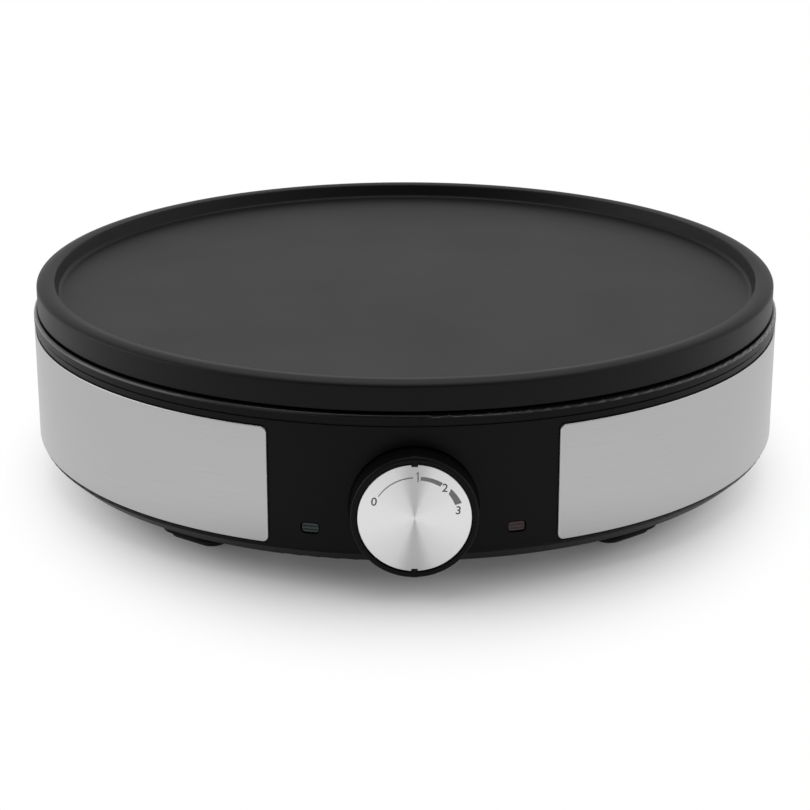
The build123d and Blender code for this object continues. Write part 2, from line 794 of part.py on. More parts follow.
# ------------------------------------------------------------------ knob
with BuildPart() as knob_body:
    with BuildSketch(knob_section) as knob_profile:
        with BuildLine():
            Polyline(
                (0, knob_cavity),
                (knob_radius - knob_side, knob_cavity),
                (knob_radius - knob_side, knob_back),
                (knob_radius, knob_back),
                (knob_radius, knob_front),
                (seat_radius, knob_front),
                (seat_radius, face_back),
                (0, face_back),
                close=True,
            )
        make_face()
        fillet(knob_profile.vertices().sort_by_distance((knob_radius, knob_front))[0], knob_round)
    revolve(axis=knob_axis)
    # grip ribs at 12 and 6 o'clock
    with BuildSketch(knob_upright) as rib_profile:
        rib_inner = face_radius - rib_bite
        rib_outer = knob_radius + rib_proud
        with Locations(((rib_inner + rib_outer) / 2, (knob_cavity + knob_front) / 2)):
            Rectangle(rib_outer - rib_inner, knob_front - knob_cavity)
        fillet(rib_profile.vertices().sort_by_distance((rib_outer, knob_front))[0], rib_round)
        with Locations(((knob_radius - overlap + rib_outer) / 2, (knob_back + knob_cavity) / 2)):
            Rectangle(rib_outer - knob_radius + overlap, knob_cavity - knob_back)
    grip_rib = extrude(rib_profile.sketch, amount=rib_width / 2, both=True)
    mirror(grip_rib, about=Plane.XY.offset(knob_height))
    # hub on the spindle, with its webs
    disc(axle_plane(hub_back), hub_radius, knob_cavity - hub_back + overlap)
    with BuildSketch(axle_plane(knob_cavity - inner_rib_height)) as inner_ribs:
        for turn in (45, 135):
            Rectangle(2 * (knob_radius - knob_side + overlap), inner_rib, rotation=turn)
    extrude(inner_ribs.sketch, amount=inner_rib_height + overlap)
    with BuildSketch(axle_plane(hub_back)) as hub_bore:
        Circle(spindle_radius + running)
        with Locations((0, spindle_flat + running + spindle_radius)):
            Rectangle(3 * spindle_radius, 2 * spindle_radius, mode=Mode.SUBTRACT)
    extrude(hub_bore.sketch, amount=knob_cavity - hub_back, mode=Mode.SUBTRACT)
save(knob_body, "knob_body")

with BuildPart() as knob_face:
    with BuildSketch(axle_plane(face_back)):
        Circle(face_radius)
        with Locations((0, face_radius), (0, -face_radius)):
            Rectangle(rib_width + 2 * slip, 2 * (rib_bite + slip), mode=Mode.SUBTRACT)
    extrude(amount=face_thickness)
save(knob_face, "knob_face")

with BuildPart() as knob_clip:
    clip_inner = hub_radius + running
    with BuildSketch(axle_plane(hub_back + clip_inset)):
        Circle(clip_inner + clip_wall)
        Circle(clip_inner, mode=Mode.SUBTRACT)
        with Locations((0, -clip_inner)):
            Rectangle(clip_slot, 2 * clip_inner, mode=Mode.SUBTRACT)
    extrude(amount=clip_width)
save(knob_clip, "knob_clip")

# ------------------------------------------------------------------ thermostat
collar_back = bush_front + spindle_play
with BuildPart() as thermostat_spindle:
    disc(axle_plane(spindle_back), spindle_radius, spindle_front - spindle_back)
    disc(axle_plane(collar_back), collar_radius, collar_thickness)
    block(
        axle_plane(collar_back),
        finger_width,
        finger_reach,
        collar_thickness,
        centre=(0, finger_reach / 2),
    )
    block(
        axle_plane(spindle_front - flat_length),
        2 * spindle_radius,
        2 * spindle_radius,
        flat_length,
        Mode.SUBTRACT,
        centre=(0, spindle_flat + spindle_radius),
    )
save(thermostat_spindle, "thermostat_spindle")

with BuildPart() as thermostat_bush:
    disc(axle_plane(bush_back), bush_radius, bush_front - bush_back)
    disc(axle_plane(bracket_front), bush_flange_radius, bush_flange)
    # raised sector with the two end stops of the spindle's finger
    with BuildSketch(axle_plane(bush_front)) as stops:
        Circle(bush_flange_radius)
        Circle(stop_inner, mode=Mode.SUBTRACT)
        with BuildLine():
            low_stop = 90 - turn_down
            open_arc = turn_down + turn_up
            reach = 2 * bush_flange_radius
            swing = CenterArc((0, 0), reach, low_stop, open_arc)
            Line((0, 0), swing @ 0)
            Line((0, 0), swing @ 1)
        make_face(mode=Mode.SUBTRACT)
        for limit in (90 - turn_down, 90 + turn_up):
            with Locations(Location((0, 0, 0), (0, 0, limit))):
                with Locations((reach / 2, 0)):
                    Rectangle(reach, finger_width + 2 * stop_clearance, mode=Mode.SUBTRACT)
    extrude(stops.sketch, amount=stop_height)
    disc(axle_plane(bore_floor), spindle_radius + running, bush_front - bore_floor, Mode.SUBTRACT)
    disc(axle_plane(bush_back), push_pin_radius + running, bush_wall, Mode.SUBTRACT)
save(thermostat_bush, "thermostat_bush")

with BuildPart() as thermostat_bracket:
    with BuildSketch(Plane.YZ) as angle_section:
        with BuildLine():
            Polyline(
                (-bracket_front, bracket_low),
                (-bracket_front, bracket_top),
                (-(bracket_front - bracket_foot), bracket_top),
                (-(bracket_front - bracket_foot), bracket_top - bracket_sheet),
                (-bracket_back, bracket_top - bracket_sheet),
                (-bracket_back, bracket_low),
                close=True,
            )
        make_face()
        outer_bend = angle_section.vertices().sort_by_distance((-bracket_front, bracket_top))[0]
        fillet(outer_bend, bracket_bend)
    extrude(amount=bracket_width / 2, both=True)
    disc(axle_plane(bracket_back), bush_radius + running, bracket_sheet, Mode.SUBTRACT)
    disc(stack_plane(bracket_back), rivet_radius + running, bracket_sheet, Mode.SUBTRACT)
    foot_under = bracket_top - bracket_sheet
    rounds(bracket_points, small_screw[0] + slip, foot_under, bracket_top, Mode.SUBTRACT)
save(thermostat_bracket, "thermostat_bracket")

with BuildPart() as bracket_screws:
    screws(bracket_points, foot_under, plate_under_z - foot_under - slip, small_screw)
save(bracket_screws, "bracket_screws")

with BuildPart() as push_pin:
    disc(axle_plane(pin_back), push_pin_radius, push_pin_length)
save(push_pin, "push_pin")

with BuildPart() as thermostat_rings:
    disc(stack_plane(contact_blade_front), ring_radius, bracket_back - contact_blade_front)
    disc(stack_plane(fixed_blade_front), ring_radius, ring_thin)
    disc(stack_plane(bimetal_front), ring_radius, ring_thin)
    disc(stack_plane(bimetal_back), rivet_radius + slip, bracket_back - bimetal_back, Mode.SUBTRACT)
save(thermostat_rings, "thermostat_rings")

with BuildPart() as thermostat_rivet:
    disc(stack_plane(bimetal_back), rivet_radius, bracket_front - bimetal_back)
    disc(stack_plane(bimetal_back - rivet_head), rivet_head_radius, rivet_head)
    disc(stack_plane(bracket_front), rivet_head_radius, rivet_head)
save(thermostat_rivet, "thermostat_rivet")


def blade(back, thickness, low, tab_side):
    """Upright strip of the stack, with a tab on one side or none."""
    block(
        wall_plane(0, 0, back),
        blade_width,
        blade_top - low,
        thickness,
        centre=(0, (low + blade_top) / 2),
    )
    if tab_side:
        block(
            wall_plane(0, stack_height, back),
            blade_tab_reach,
            tab_width,
            thickness,
            centre=(tab_side * blade_tab_reach / 2, 0),
        )
    disc(stack_plane(back), rivet_radius + slip, thickness, Mode.SUBTRACT)


with BuildPart() as contact_blade:
    blade(contact_blade_back, spring_sheet, blade_low, 1)
save(contact_blade, "contact_blade")

with BuildPart() as fixed_blade:
    blade(fixed_blade_back, blade_sheet, blade_low, -1)
    disc(wall_plane(0, bead_height, fixed_blade_back), bead_radius + loose, blade_sheet, Mode.SUBTRACT)
save(fixed_blade, "fixed_blade")

with BuildPart() as bimetal:
    blade(bimetal_back, bimetal_sheet, bimetal_low, 0)
save(bimetal, "bimetal")

with BuildPart() as bimetal_bead:
    bead_length = contact_blade_back - contact_gap - bimetal_front
    disc(wall_plane(0, bead_height, bimetal_front), bead_radius, bead_length)
save(bimetal_bead, "bimetal_bead")

with BuildPart() as contact_points:
    contact_thickness = (ring_thin - contact_gap) / 2
    disc(wall_plane(0, contact_height, fixed_blade_front), contact_radius, contact_thickness)
    moving_contact = contact_blade_back - contact_thickness
    disc(wall_plane(0, contact_height, moving_contact), contact_radius, contact_thickness)
save(contact_points, "contact_points")

# ------------------------------------------------------------------ cord gland
with BuildPart() as cord_gland:
    with BuildSketch(gland_section):
        with BuildLine():
            gland_back = gland_pad_back - gland_inner_flange
            Polyline(
                (gland_bore, gland_back),
                (gland_flange, gland_back),
                (gland_flange, gland_pad_back),
                (gland_neck, gland_pad_back),
                (gland_neck, gland_pad_front),
                (gland_flange, gland_pad_front),
                (gland_flange, gland_pad_front + gland_outer_flange),
                (gland_nose, gland_front),
                (gland_bore, gland_front),
                close=True,
            )
        make_face()
    revolve(axis=gland_axis)
save(cord_gland, "cord_gland")

# ------------------------------------------------------------------ indicator lamps
for side, lens_name, lamp_name in ((-1, "power_lens", "power_lamp"), (1, "ready_lens", "ready_lamp")):
    angle = side * lens_angle
    with BuildPart() as lens:
        with BuildSketch(wall_plane(angle, lens_height, holder_front)) as lens_flange:
            RectangleRounded(lens_width + 2 * lens_rim, lens_tall + 2 * lens_rim, lens_corner)
        extrude(amount=lens_rim_thickness)
        with BuildSketch(wall_plane(angle, lens_height, lens_seat)) as lens_window:
            RectangleRounded(lens_width, lens_tall, lens_corner)
        extrude(amount=lens_face - lens_seat)
    save(lens, lens_name)
    lamp_x, lamp_y = around(lamp_distance, angle)
    lamp_plane = Plane(
        origin=(lamp_x, lamp_y, lens_height),
        x_dir=(0, 0, 1),
        z_dir=(cos(radians(angle)), sin(radians(angle)), 0),
    )
    with BuildPart() as lamp:
        disc(lamp_plane.offset(-lamp_length / 2), lamp_radius, lamp_length)
    save(lamp, lamp_name)

with BuildPart() as lamp_holders:
    for angle in (-lens_angle, lens_angle):
        holder_plane = wall_plane(angle, lens_height, holder_front - holder_deep)
        block(holder_plane, holder_width, holder_tall, holder_deep)
        leg_offset = (holder_width - holder_leg) / 2
        for side in (-1, 1):
            block(
                wall_plane(angle, lens_height, holder_front - overlap),
                holder_leg,
                holder_tall,
                lens_rim_thickness,
                centre=(side * leg_offset, 0),
            )
        lamp_x, lamp_y = around(lamp_distance, angle)
        bore_plane = Plane(
            origin=(lamp_x, lamp_y, lens_height),
            x_dir=(0, 0, 1),
            z_dir=(cos(radians(angle)), sin(radians(angle)), 0),
        )
        disc(bore_plane.offset(-holder_width / 2), lamp_radius + slip, holder_width, Mode.SUBTRACT)
        block(
            wall_plane(angle, lens_height, lamp_distance),
            lens_width,
            lens_tall,
            holder_front - lamp_distance,
            Mode.SUBTRACT,
        )
save(lamp_holders, "lamp_holders")

# ------------------------------------------------------------------ terminal block
pole_z = block_z + pole_height
block_front = block_distance - block_deep / 2


def pole_plane(place, y):
    """Plane across one pole of the terminal block, facing the rear."""
    return Plane(origin=(place * pole_spacing, y, pole_z), x_dir=(-1, 0, 0), z_dir=(0, 1, 0))


with BuildPart() as terminal_block:
    block(Plane.XY.offset(block_z), block_width, block_deep, block_tall, centre=(0, block_distance))
    for place in (-1, 0, 1):
        disc(pole_plane(place, block_front), pole_radius + slip, block_deep, Mode.SUBTRACT)
    rounds(pole_points, pole_well, pole_z, block_z + block_tall, Mode.SUBTRACT)
    rounds(block_points, small_screw[0] + slip, block_z, block_z + block_tall, Mode.SUBTRACT)
    screw_seat = block_z + pole_height / 2
    rounds(block_points, small_screw[1] + slip, screw_seat, block_z + block_tall, Mode.SUBTRACT)
save(terminal_block, "terminal_block")

with BuildPart() as terminal_sleeves:
    for place in (-1, 0, 1):
        sleeve_plane = pole_plane(place, block_front + slip)
        disc(sleeve_plane, pole_radius, block_deep - 2 * slip)
        disc(sleeve_plane, pole_radius - pole_wall, block_deep - 2 * slip, Mode.SUBTRACT)
    rounds(pole_points, clamp_radius + running, pole_z, pole_z + pole_radius, Mode.SUBTRACT)
save(terminal_sleeves, "terminal_sleeves")

with BuildPart() as clamp_screws:
    rounds(pole_points, clamp_radius, pole_z + lead_radius + slip, block_z + block_tall - pole_well)
save(clamp_screws, "clamp_screws")

with BuildPart() as block_screws:
    screws(block_points, screw_seat, screw_seat - base_z - slip, small_screw, sense=-1)
save(block_screws, "block_screws")

# ------------------------------------------------------------------ thermal fuse and earth tab
sleeve_radius = fuse_radius + slip + sleeve_wall
fuse_z = reflector_z - sleeve_radius - slip


def fuse_plane(offset):
    """Plane across the thermal fuse, at a distance from its middle."""
    return Plane(origin=(fuse_x + offset, fuse_y, fuse_z), x_dir=(0, 1, 0), z_dir=(1, 0, 0))


with BuildPart() as thermal_fuse:
    disc(fuse_plane(-fuse_length / 2), fuse_radius, fuse_length)
    disc(fuse_plane(-fuse_wire_reach), fuse_wire, 2 * fuse_wire_reach)
save(thermal_fuse, "thermal_fuse")

with BuildPart() as fuse_sleeve:
    disc(fuse_plane(-sleeve_length / 2), sleeve_radius, sleeve_length)
    disc(fuse_plane(-sleeve_length / 2), fuse_radius + slip, sleeve_length, Mode.SUBTRACT)
save(fuse_sleeve, "fuse_sleeve")

with BuildPart() as fuse_clip:
    clip_bore = sleeve_radius + running
    clip_rise = reflector_z - fuse_z
    with BuildSketch(fuse_plane(-fuse_clip_width / 2)) as clip_profile:
        Circle(clip_bore + sheet)
        with Locations((0, clip_rise / 2)):
            Rectangle(2 * (clip_bore + sheet), clip_rise)
        with Locations((0, clip_rise - sheet / 2)):
            Rectangle(2 * (clip_bore + fuse_clip_foot), sheet)
        with Locations((0, clip_rise + clip_bore)):
            Rectangle(4 * clip_bore, 2 * clip_bore, mode=Mode.SUBTRACT)
        Circle(clip_bore, mode=Mode.SUBTRACT)
        with Locations((0, clip_rise / 2)):
            Rectangle(2 * clip_bore, clip_rise, mode=Mode.SUBTRACT)
    extrude(clip_profile.sketch, amount=fuse_clip_width)
save(fuse_clip, "fuse_clip")

earth_under = reflector_z - tab_thickness
with BuildPart() as earth_tab:
    foot_plane = Plane.XY.offset(earth_under)
    foot_offset = (earth_foot - tab_thickness) / 2
    block(foot_plane, tab_width, earth_foot, tab_thickness, centre=(earth_x, earth_y + foot_offset))
    block(foot_plane, tab_width, tab_thickness, -tab_length, centre=(earth_x, earth_y))
save(earth_tab, "earth_tab")

# ------------------------------------------------------------------ internal leads
fixed_tab_y = -(fixed_blade_back + fixed_blade_front) / 2
contact_tab_y = -(contact_blade_back + contact_blade_front) / 2
tab_end = tab_top + overlap - tab_length
blade_tab_low = stack_height - tab_width / 2
grip_y = block_front + lead_grip


def lamp_lead_point(side, reach):
    """Point on a lamp's own axis: side -1 or 1 of the body, reach outwards from its middle."""
    middle_x, middle_y = around(lamp_distance, lens_angle)
    along_x = reach * cos(radians(lens_angle))
    along_y = reach * sin(radians(lens_angle))
    return (side * (middle_x + along_x), middle_y + along_y, lens_height)


def inside(angle, inset, height):
    """Point inside the body, at a distance in from the housing's wall."""
    return (*around(shell_radius - inset, angle), height)


lamp_end = lamp_length / 2
lamp_turn = lamp_end + lamp_exit

lead_routes = {
    "live_lead": [
        (-pole_spacing, grip_y, pole_z),
        (-pole_spacing, block_front - lead_exit, pole_z),
        inside(-166, 52, 19),
        inside(-149, 61.5, 17),
        inside(-122, 79.5, 16),
        inside(-78, 86.5, 16),
        inside(-43, 68, 20),
        inside(-25, 42, 34),
        (-blade_tab_reach - 15, fixed_tab_y, stack_height),
        (-blade_tab_reach, fixed_tab_y, stack_height),
    ],
    "switched_lead": [
        (blade_tab_reach, contact_tab_y, stack_height),
        (blade_tab_reach + 17, contact_tab_y, stack_height),
        inside(26, 43, 34),
        inside(48, 71.5, 18),
        inside(90, 86, 15),
        inside(129, 79.5, 14),
        inside(154, 65, 13.5),
        inside(167, 57.5, 13),
        (tail_x, tail_y, tab_end - terminal_rise),
        (tail_x, tail_y, tab_end),
    ],
    "neutral_lead": [
        (pole_spacing, grip_y, pole_z),
        (pole_spacing, block_front - lead_exit, pole_z),
        inside(166, 50.5, 21.5),
        inside(152, 52.5, 27),
        inside(134, 57, 38),
        inside(117, 62.5, 50),
        (fuse_x + fuse_wire_reach + 18, fuse_y, fuse_z),
        (fuse_x + fuse_wire_reach, fuse_y, fuse_z),
    ],
    "fuse_lead": [
        (fuse_x - fuse_wire_reach, fuse_y, fuse_z),
        (fuse_x - fuse_wire_reach - 15, fuse_y, fuse_z),
        inside(-173, 118, 50),
        inside(-165, 92, 36),
        inside(-163, 68.5, 20),
        inside(-168, 58, 14),
        (-tail_x, tail_y, tab_end - terminal_rise),
        (-tail_x, tail_y, tab_end),
    ],
    "earth_lead": [
        (0, grip_y, pole_z),
        (0, block_front - lead_exit, pole_z),
        inside(178, 60, 25),
        inside(171, 71, 32),
        (earth_x, earth_y, earth_under - tab_length - terminal_rise),
        (earth_x, earth_y, earth_under - tab_length),
    ],
    "lamp_link_lead": [
        lamp_lead_point(-1, -lamp_end),
        lamp_lead_point(-1, -lamp_turn),
        inside(-4, 9.5, 15),
        inside(3, 10, 14.5),
        lamp_lead_point(1, -lamp_turn),
        lamp_lead_point(1, -lamp_end),
    ],
    "power_lamp_lead": [
        lamp_lead_point(-1, lamp_end),
        lamp_lead_point(-1, lamp_turn),
        inside(-26, 16.5, 23.5),
        inside(-24, 35.5, 25),
        inside(-16, 45.5, 26),
        inside(-7, 43, 27),
        (-12, fixed_tab_y, blade_tab_low - terminal_rise),
        (-12, fixed_tab_y, blade_tab_low),
    ],
    "ready_lamp_lead": [
        lamp_lead_point(1, lamp_end),
        lamp_lead_point(1, lamp_turn),
        inside(26, 16.5, 23.5),
        inside(24, 35.5, 25),
        inside(16, 44.5, 26),
        inside(7, 40, 27),
        (12, contact_tab_y, blade_tab_low - terminal_rise),
        (12, contact_tab_y, blade_tab_low),
    ],
}
for name, route in lead_routes.items():
    radii = corner_radii(route)
    print(name, "bend radii", [round(radius, 1) for radius in radii])
    with BuildPart() as lead:
        with BuildLine() as lead_path:
            FilletPolyline(*route, radius=radii)
        start_direction = Vector(*route[1]) - Vector(*route[0])
        with BuildSketch(Plane(origin=route[0], z_dir=start_direction)):
            Circle(lead_radius)
        sweep(path=lead_path.wires()[0])
    save(lead, name)
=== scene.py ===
import json
from math import cos, pi, radians, sin, tan

import bpy
from bpy.props import FloatProperty, FloatVectorProperty, PointerProperty
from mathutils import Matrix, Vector


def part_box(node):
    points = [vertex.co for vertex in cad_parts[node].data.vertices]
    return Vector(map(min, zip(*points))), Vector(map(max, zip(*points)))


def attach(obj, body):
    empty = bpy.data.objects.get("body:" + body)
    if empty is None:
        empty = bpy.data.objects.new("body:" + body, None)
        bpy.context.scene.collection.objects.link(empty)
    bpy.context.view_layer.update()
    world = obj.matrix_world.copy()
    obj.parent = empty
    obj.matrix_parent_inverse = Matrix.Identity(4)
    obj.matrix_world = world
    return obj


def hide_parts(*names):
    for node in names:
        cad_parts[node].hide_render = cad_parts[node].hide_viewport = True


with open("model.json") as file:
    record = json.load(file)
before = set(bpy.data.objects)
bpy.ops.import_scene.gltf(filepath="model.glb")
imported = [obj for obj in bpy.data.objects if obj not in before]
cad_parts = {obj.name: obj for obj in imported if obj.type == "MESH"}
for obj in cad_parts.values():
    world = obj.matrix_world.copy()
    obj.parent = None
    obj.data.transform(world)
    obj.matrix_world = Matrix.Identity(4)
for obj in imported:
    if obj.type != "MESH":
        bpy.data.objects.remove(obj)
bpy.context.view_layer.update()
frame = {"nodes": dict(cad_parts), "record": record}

bl_info = {
    "name": "Electric crepe maker",
    "version": (1, 0, 0),
    "blender": (4, 5, 0),
    "location": "3D View > Sidebar > Crepe maker",
    "description": "Finishes and fine pieces of a round electric crepe maker with one control knob",
    "category": "Object",
}

mm = 0.001

# ------------------------------------------------------------------ sizes read from the frame
plate_low, plate_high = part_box("baking_plate")
shell_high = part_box("body_shell")[1]
face_low, face_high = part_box("knob_face")
panel_low, panel_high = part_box("steel_panel_right")
face_radius = (face_high.x - face_low.x) / 2
face_front, face_back = -face_low.y, -face_high.y
knob_z = (face_low.z + face_high.z) / 2
lens_low, lens_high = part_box("power_lens")
lens_height = (lens_low.z + lens_high.z) / 2
upward = Vector((0, 0, 1))
forward = Vector((0, -1, 0))
rightward = Vector((1, 0, 0))


def linear(code):
    """Linear RGB of an sRGB hex code."""
    channels = [int(code[place : place + 2], 16) / 255 for place in (1, 3, 5)]
    return tuple(c / 12.92 if c <= 0.04045 else ((c + 0.055) / 1.055) ** 2.4 for c in channels)


# ------------------------------------------------------------------ settings
def a_length(name, description, size):
    """A length that can be set, in metres."""
    return FloatProperty(name=name, description=description, unit="LENGTH", default=size)


def an_angle(name, description, degrees):
    """An angle that can be set, given here in degrees."""
    return FloatProperty(
        name=name, description=description, subtype="ANGLE", default=radians(degrees)
    )


def a_colour(name, description, code):
    """A colour that can be set, given here as an sRGB hex code."""
    return FloatVectorProperty(
        name=name, description=description, subtype="COLOR", default=linear(code)
    )


def a_power(name, description, watts):
    """The power of a lamp, in watts."""
    return FloatProperty(name=name, description=description, unit="POWER", default=watts)


class PlateSettings(bpy.types.PropertyGroup):
    """Baking plate."""

    coating: a_colour("Coating", "Colour of the non-stick coating", "#0e0e0f")
    coating_roughness: FloatProperty(
        name="Coating roughness",
        description="Roughness of the baked coating",
        subtype="FACTOR",
        min=0,
        max=1,
        default=0.45,
    )
    tray_depth: a_length("Tray depth", "Crest of the rim down to the cooking surface", 5.8 * mm)
    skirt_height: a_length(
        "Skirt height", "Crest of the rim down to the lower edge of the skirt", 10.9 * mm
    )
    rim_width: a_length("Rim width", "Width of the ring round the tray", 7.2 * mm)
    dome_width: a_length(
        "Dome width", "Width of the rim's outer part, which curves down to the skirt", 4.5 * mm
    )
    dome_drop: a_length("Dome drop", "How far that part falls", 2.0 * mm)


class HousingSettings(bpy.types.PropertyGroup):
    """Housing, base cover and cord gland."""

    plastic: a_colour("Plastic", "Colour of the moulded housing", "#0b0b0c")


class PanelSettings(bpy.types.PropertyGroup):
    """Brushed steel panels."""

    steel: a_colour("Steel", "Colour of the brushed steel", "#b2b2b2")
    sheet: a_length("Sheet", "Thickness of the steel", 0.8 * mm)
    front_angle: an_angle("Front angle", "From the front of the body to a panel's near edge", 20.2)
    rear_angle: an_angle("Rear angle", "From the front of the body to a panel's far edge", 157.5)
    corner: a_length("Corner", "Radius of a panel's corners", 2.3 * mm)
    edge_round: a_length("Edge round", "Radius of the punched edge", 0.35 * mm)


class KnobSettings(bpy.types.PropertyGroup):
    """Knob face and its printed scale."""

    aluminium: a_colour("Aluminium", "Colour of the spun disc", "#dedede")
    ink: a_colour("Ink", "Colour of the printed numbers", "#565657")
    pale_ink: a_colour("Pale ink", "Colour of the printed line and wedges", "#868687")
    number_height: a_length("Number height", "Height of the printed numbers", 3.15 * mm)
    number_radius: a_length(
        "Number radius", "Knob's axis to the middle of each number", 15.7 * mm
    )


class LensSettings(bpy.types.PropertyGroup):
    """Indicator windows."""

    power: a_colour("Power lens", "Colour of the left window", "#182c2b")
    ready: a_colour("Ready lens", "Colour of the right window", "#34171d")
    width: a_length("Width", "Width of a window", 6.7 * mm)
    height: a_length("Height", "Height of a window", 4.0 * mm)
    flute_depth: a_length(
        "Flute depth", "Depth of the grooves between the window's three bands", 0.22 * mm
    )
    angle: an_angle("Angle", "From the front of the body to the middle of a window", 14.2)


class StageSettings(bpy.types.PropertyGroup):
    """Floor, lamps and camera."""

    top_power: a_power("Top lamp", "Power of the softbox above", 7.6)
    front_left_power: a_power("Front left lamp", "Power of the front left softbox", 2.4)
    front_right_power: a_power("Front right lamp", "Power of the front right softbox", 4.2)
    side_left_power: a_power("Left side lamp", "Power of the softbox at the left", 6.05)
    side_right_power: a_power("Right side lamp", "Power of the softbox at the right", 3.3)
    focal_length: FloatProperty(
        name="Focal length",
        description="Of the camera, on a 36 mm sensor",
        default=99.77,
    )
    aim_height: a_length(
        "Aim height", "Height of the point that the camera's place is measured from", 77 * mm
    )
    distance: a_length("Distance", "Camera to that point", 0.9318)
    azimuth: an_angle("Azimuth", "Camera's angle round the body, from the front", -1.2)
    elevation: an_angle("Elevation", "Camera's angle above that point", 15.75)
    pitch: an_angle("Pitch", "How far down the camera looks", 19.24)


class CrepeMakerSettings(bpy.types.PropertyGroup):
    """All settings of the crepe maker."""

    plate: PointerProperty(type=PlateSettings)
    housing: PointerProperty(type=HousingSettings)
    panels: PointerProperty(type=PanelSettings)
    knob: PointerProperty(type=KnobSettings)
    lenses: PointerProperty(type=LensSettings)
    stage: PointerProperty(type=StageSettings)


# ------------------------------------------------------------------ nodes
def add(tree, kind, sockets={}, **settings):
    """Add a node with its settings, and set or link its sockets."""
    node = tree.nodes.new(kind)
    for name, value in settings.items():
        setattr(node, name, value)
    for name, value in sockets.items():
        if isinstance(value, bpy.types.NodeSocket):
            tree.links.new(value, node.inputs[name])
        elif value is not None:
            node.inputs[name].default_value = value
    return node


def new_tree(name):
    """A new material, its node tree and the place of each point of the piece."""
    material = bpy.data.materials.new(name)
    material.use_nodes = True
    tree = material.node_tree
    tree.nodes.clear()
    return material, tree, add(tree, "ShaderNodeTexCoord").outputs["Object"]


def surface(tree, sockets):
    """Principled shader on the material's output."""
    shader = add(tree, "ShaderNodeBsdfPrincipled", sockets)
    add(tree, "ShaderNodeOutputMaterial", {"Surface": shader.outputs["BSDF"]})


def maths(tree, operation, *values):
    """Result of a maths node."""
    node = add(tree, "ShaderNodeMath", dict(enumerate(values)), operation=operation)
    return node.outputs["Value"]


def vector_maths(tree, operation, sockets, result="Vector"):
    """Result of a vector maths node."""
    node = add(tree, "ShaderNodeVectorMath", sockets, operation=operation)
    return node.outputs[result]


def split(tree, vector):
    """The three parts of a vector."""
    return add(tree, "ShaderNodeSeparateXYZ", {"Vector": vector}).outputs


def combined(tree, **axes):
    """A vector from its parts."""
    return add(tree, "ShaderNodeCombineXYZ", axes).outputs["Vector"]


def mixed(tree, factor, first, second):
    """A value between two others."""
    sockets = {"Factor": factor, "A": first, "B": second}
    return add(tree, "ShaderNodeMix", sockets).outputs["Result"]


def spread(tree, factor, low, high, start=0, end=1, smooth=False):
    """A value that goes from low to high while the factor goes from start to end."""
    sockets = {"Value": factor, "From Min": start, "From Max": end, "To Min": low, "To Max": high}
    kind = "SMOOTHSTEP" if smooth else "LINEAR"
    return add(tree, "ShaderNodeMapRange", sockets, interpolation_type=kind).outputs["Result"]


def shades(tree, factor, colour, dark, light):
    """A colour that a pattern makes darker and lighter by two factors."""
    ramp = add(tree, "ShaderNodeValToRGB", {"Fac": factor})
    ramp.color_ramp.elements[0].color = (*[dark * c for c in colour], 1)
    ramp.color_ramp.elements[1].color = (*[light * c for c in colour], 1)
    return ramp.outputs["Color"]


def noise(tree, place, size, detail=2, roughness=0.5):
    """Uneven pattern, with features of one size."""
    sockets = {"Vector": place, "Scale": 1 / size, "Detail": detail, "Roughness": roughness}
    return add(tree, "ShaderNodeTexNoise", sockets).outputs["Fac"]


def relief(tree, height, depth, normal=None):
    """Normal of a surface with a fine relief."""
    sockets = {"Height": height, "Distance": depth, "Strength": 1.0, "Normal": normal}
    return add(tree, "ShaderNodeBump", sockets).outputs["Normal"]


# ------------------------------------------------------------------ materials
def baked_coating(colour, roughness):
    """PTFE coating, sprayed on cast aluminium and baked: satin black, faintly mottled, with the
    fine orange peel of the spray."""
    material, tree, place = new_tree("PTFE coating, sprayed and baked")
    cloud_size, peel_size, speck_size = 45 * mm, 1.1 * mm, 0.5 * mm
    peel_depth = 0.012 * mm
    cloud = noise(tree, place, cloud_size, detail=3)
    mottle = mixed(tree, 0.5, cloud, noise(tree, place, speck_size))
    surface(
        tree,
        {
            "Base Color": shades(tree, mottle, colour, 0.6, 1.4),
            "Roughness": spread(tree, cloud, roughness - 0.04, roughness + 0.04),
            "Specular IOR Level": 0.14,
            "Normal": relief(tree, noise(tree, place, peel_size), peel_depth),
        },
    )
    return material


def shoulder_normal(tree, place):
    """Strength of the polish on the flange's rounded shoulder, and the shoulder's true normal
    there, with the plain one elsewhere."""
    shoulder_round = 1.3 * mm
    polish_fade = 0.4 * mm  # width over which the polish fades in
    axes = split(tree, place)
    flat = combined(tree, X=axes["X"], Y=axes["Y"])
    radius = vector_maths(tree, "LENGTH", {0: flat}, "Value")
    reach = maths(tree, "SUBTRACT", radius, shell_high.x - shoulder_round)
    rise = maths(tree, "SUBTRACT", axes["Z"], shell_high.z - shoulder_round)
    out = vector_maths(tree, "NORMALIZE", {0: flat})
    level = vector_maths(tree, "SCALE", {0: out, "Scale": reach})
    arc = vector_maths(tree, "ADD", {0: level, 1: combined(tree, Z=rise)})
    lower = maths(tree, "MINIMUM", reach, rise)
    picked = add(
        tree,
        "ShaderNodeMix",
        {
            "Factor": maths(tree, "GREATER_THAN", lower, 0),
            "A": add(tree, "ShaderNodeNewGeometry").outputs["Normal"],
            "B": vector_maths(tree, "NORMALIZE", {0: arc}),
        },
        data_type="VECTOR",
    )
    return spread(tree, lower, 0, 1, end=polish_fade, smooth=True), picked.outputs[1]


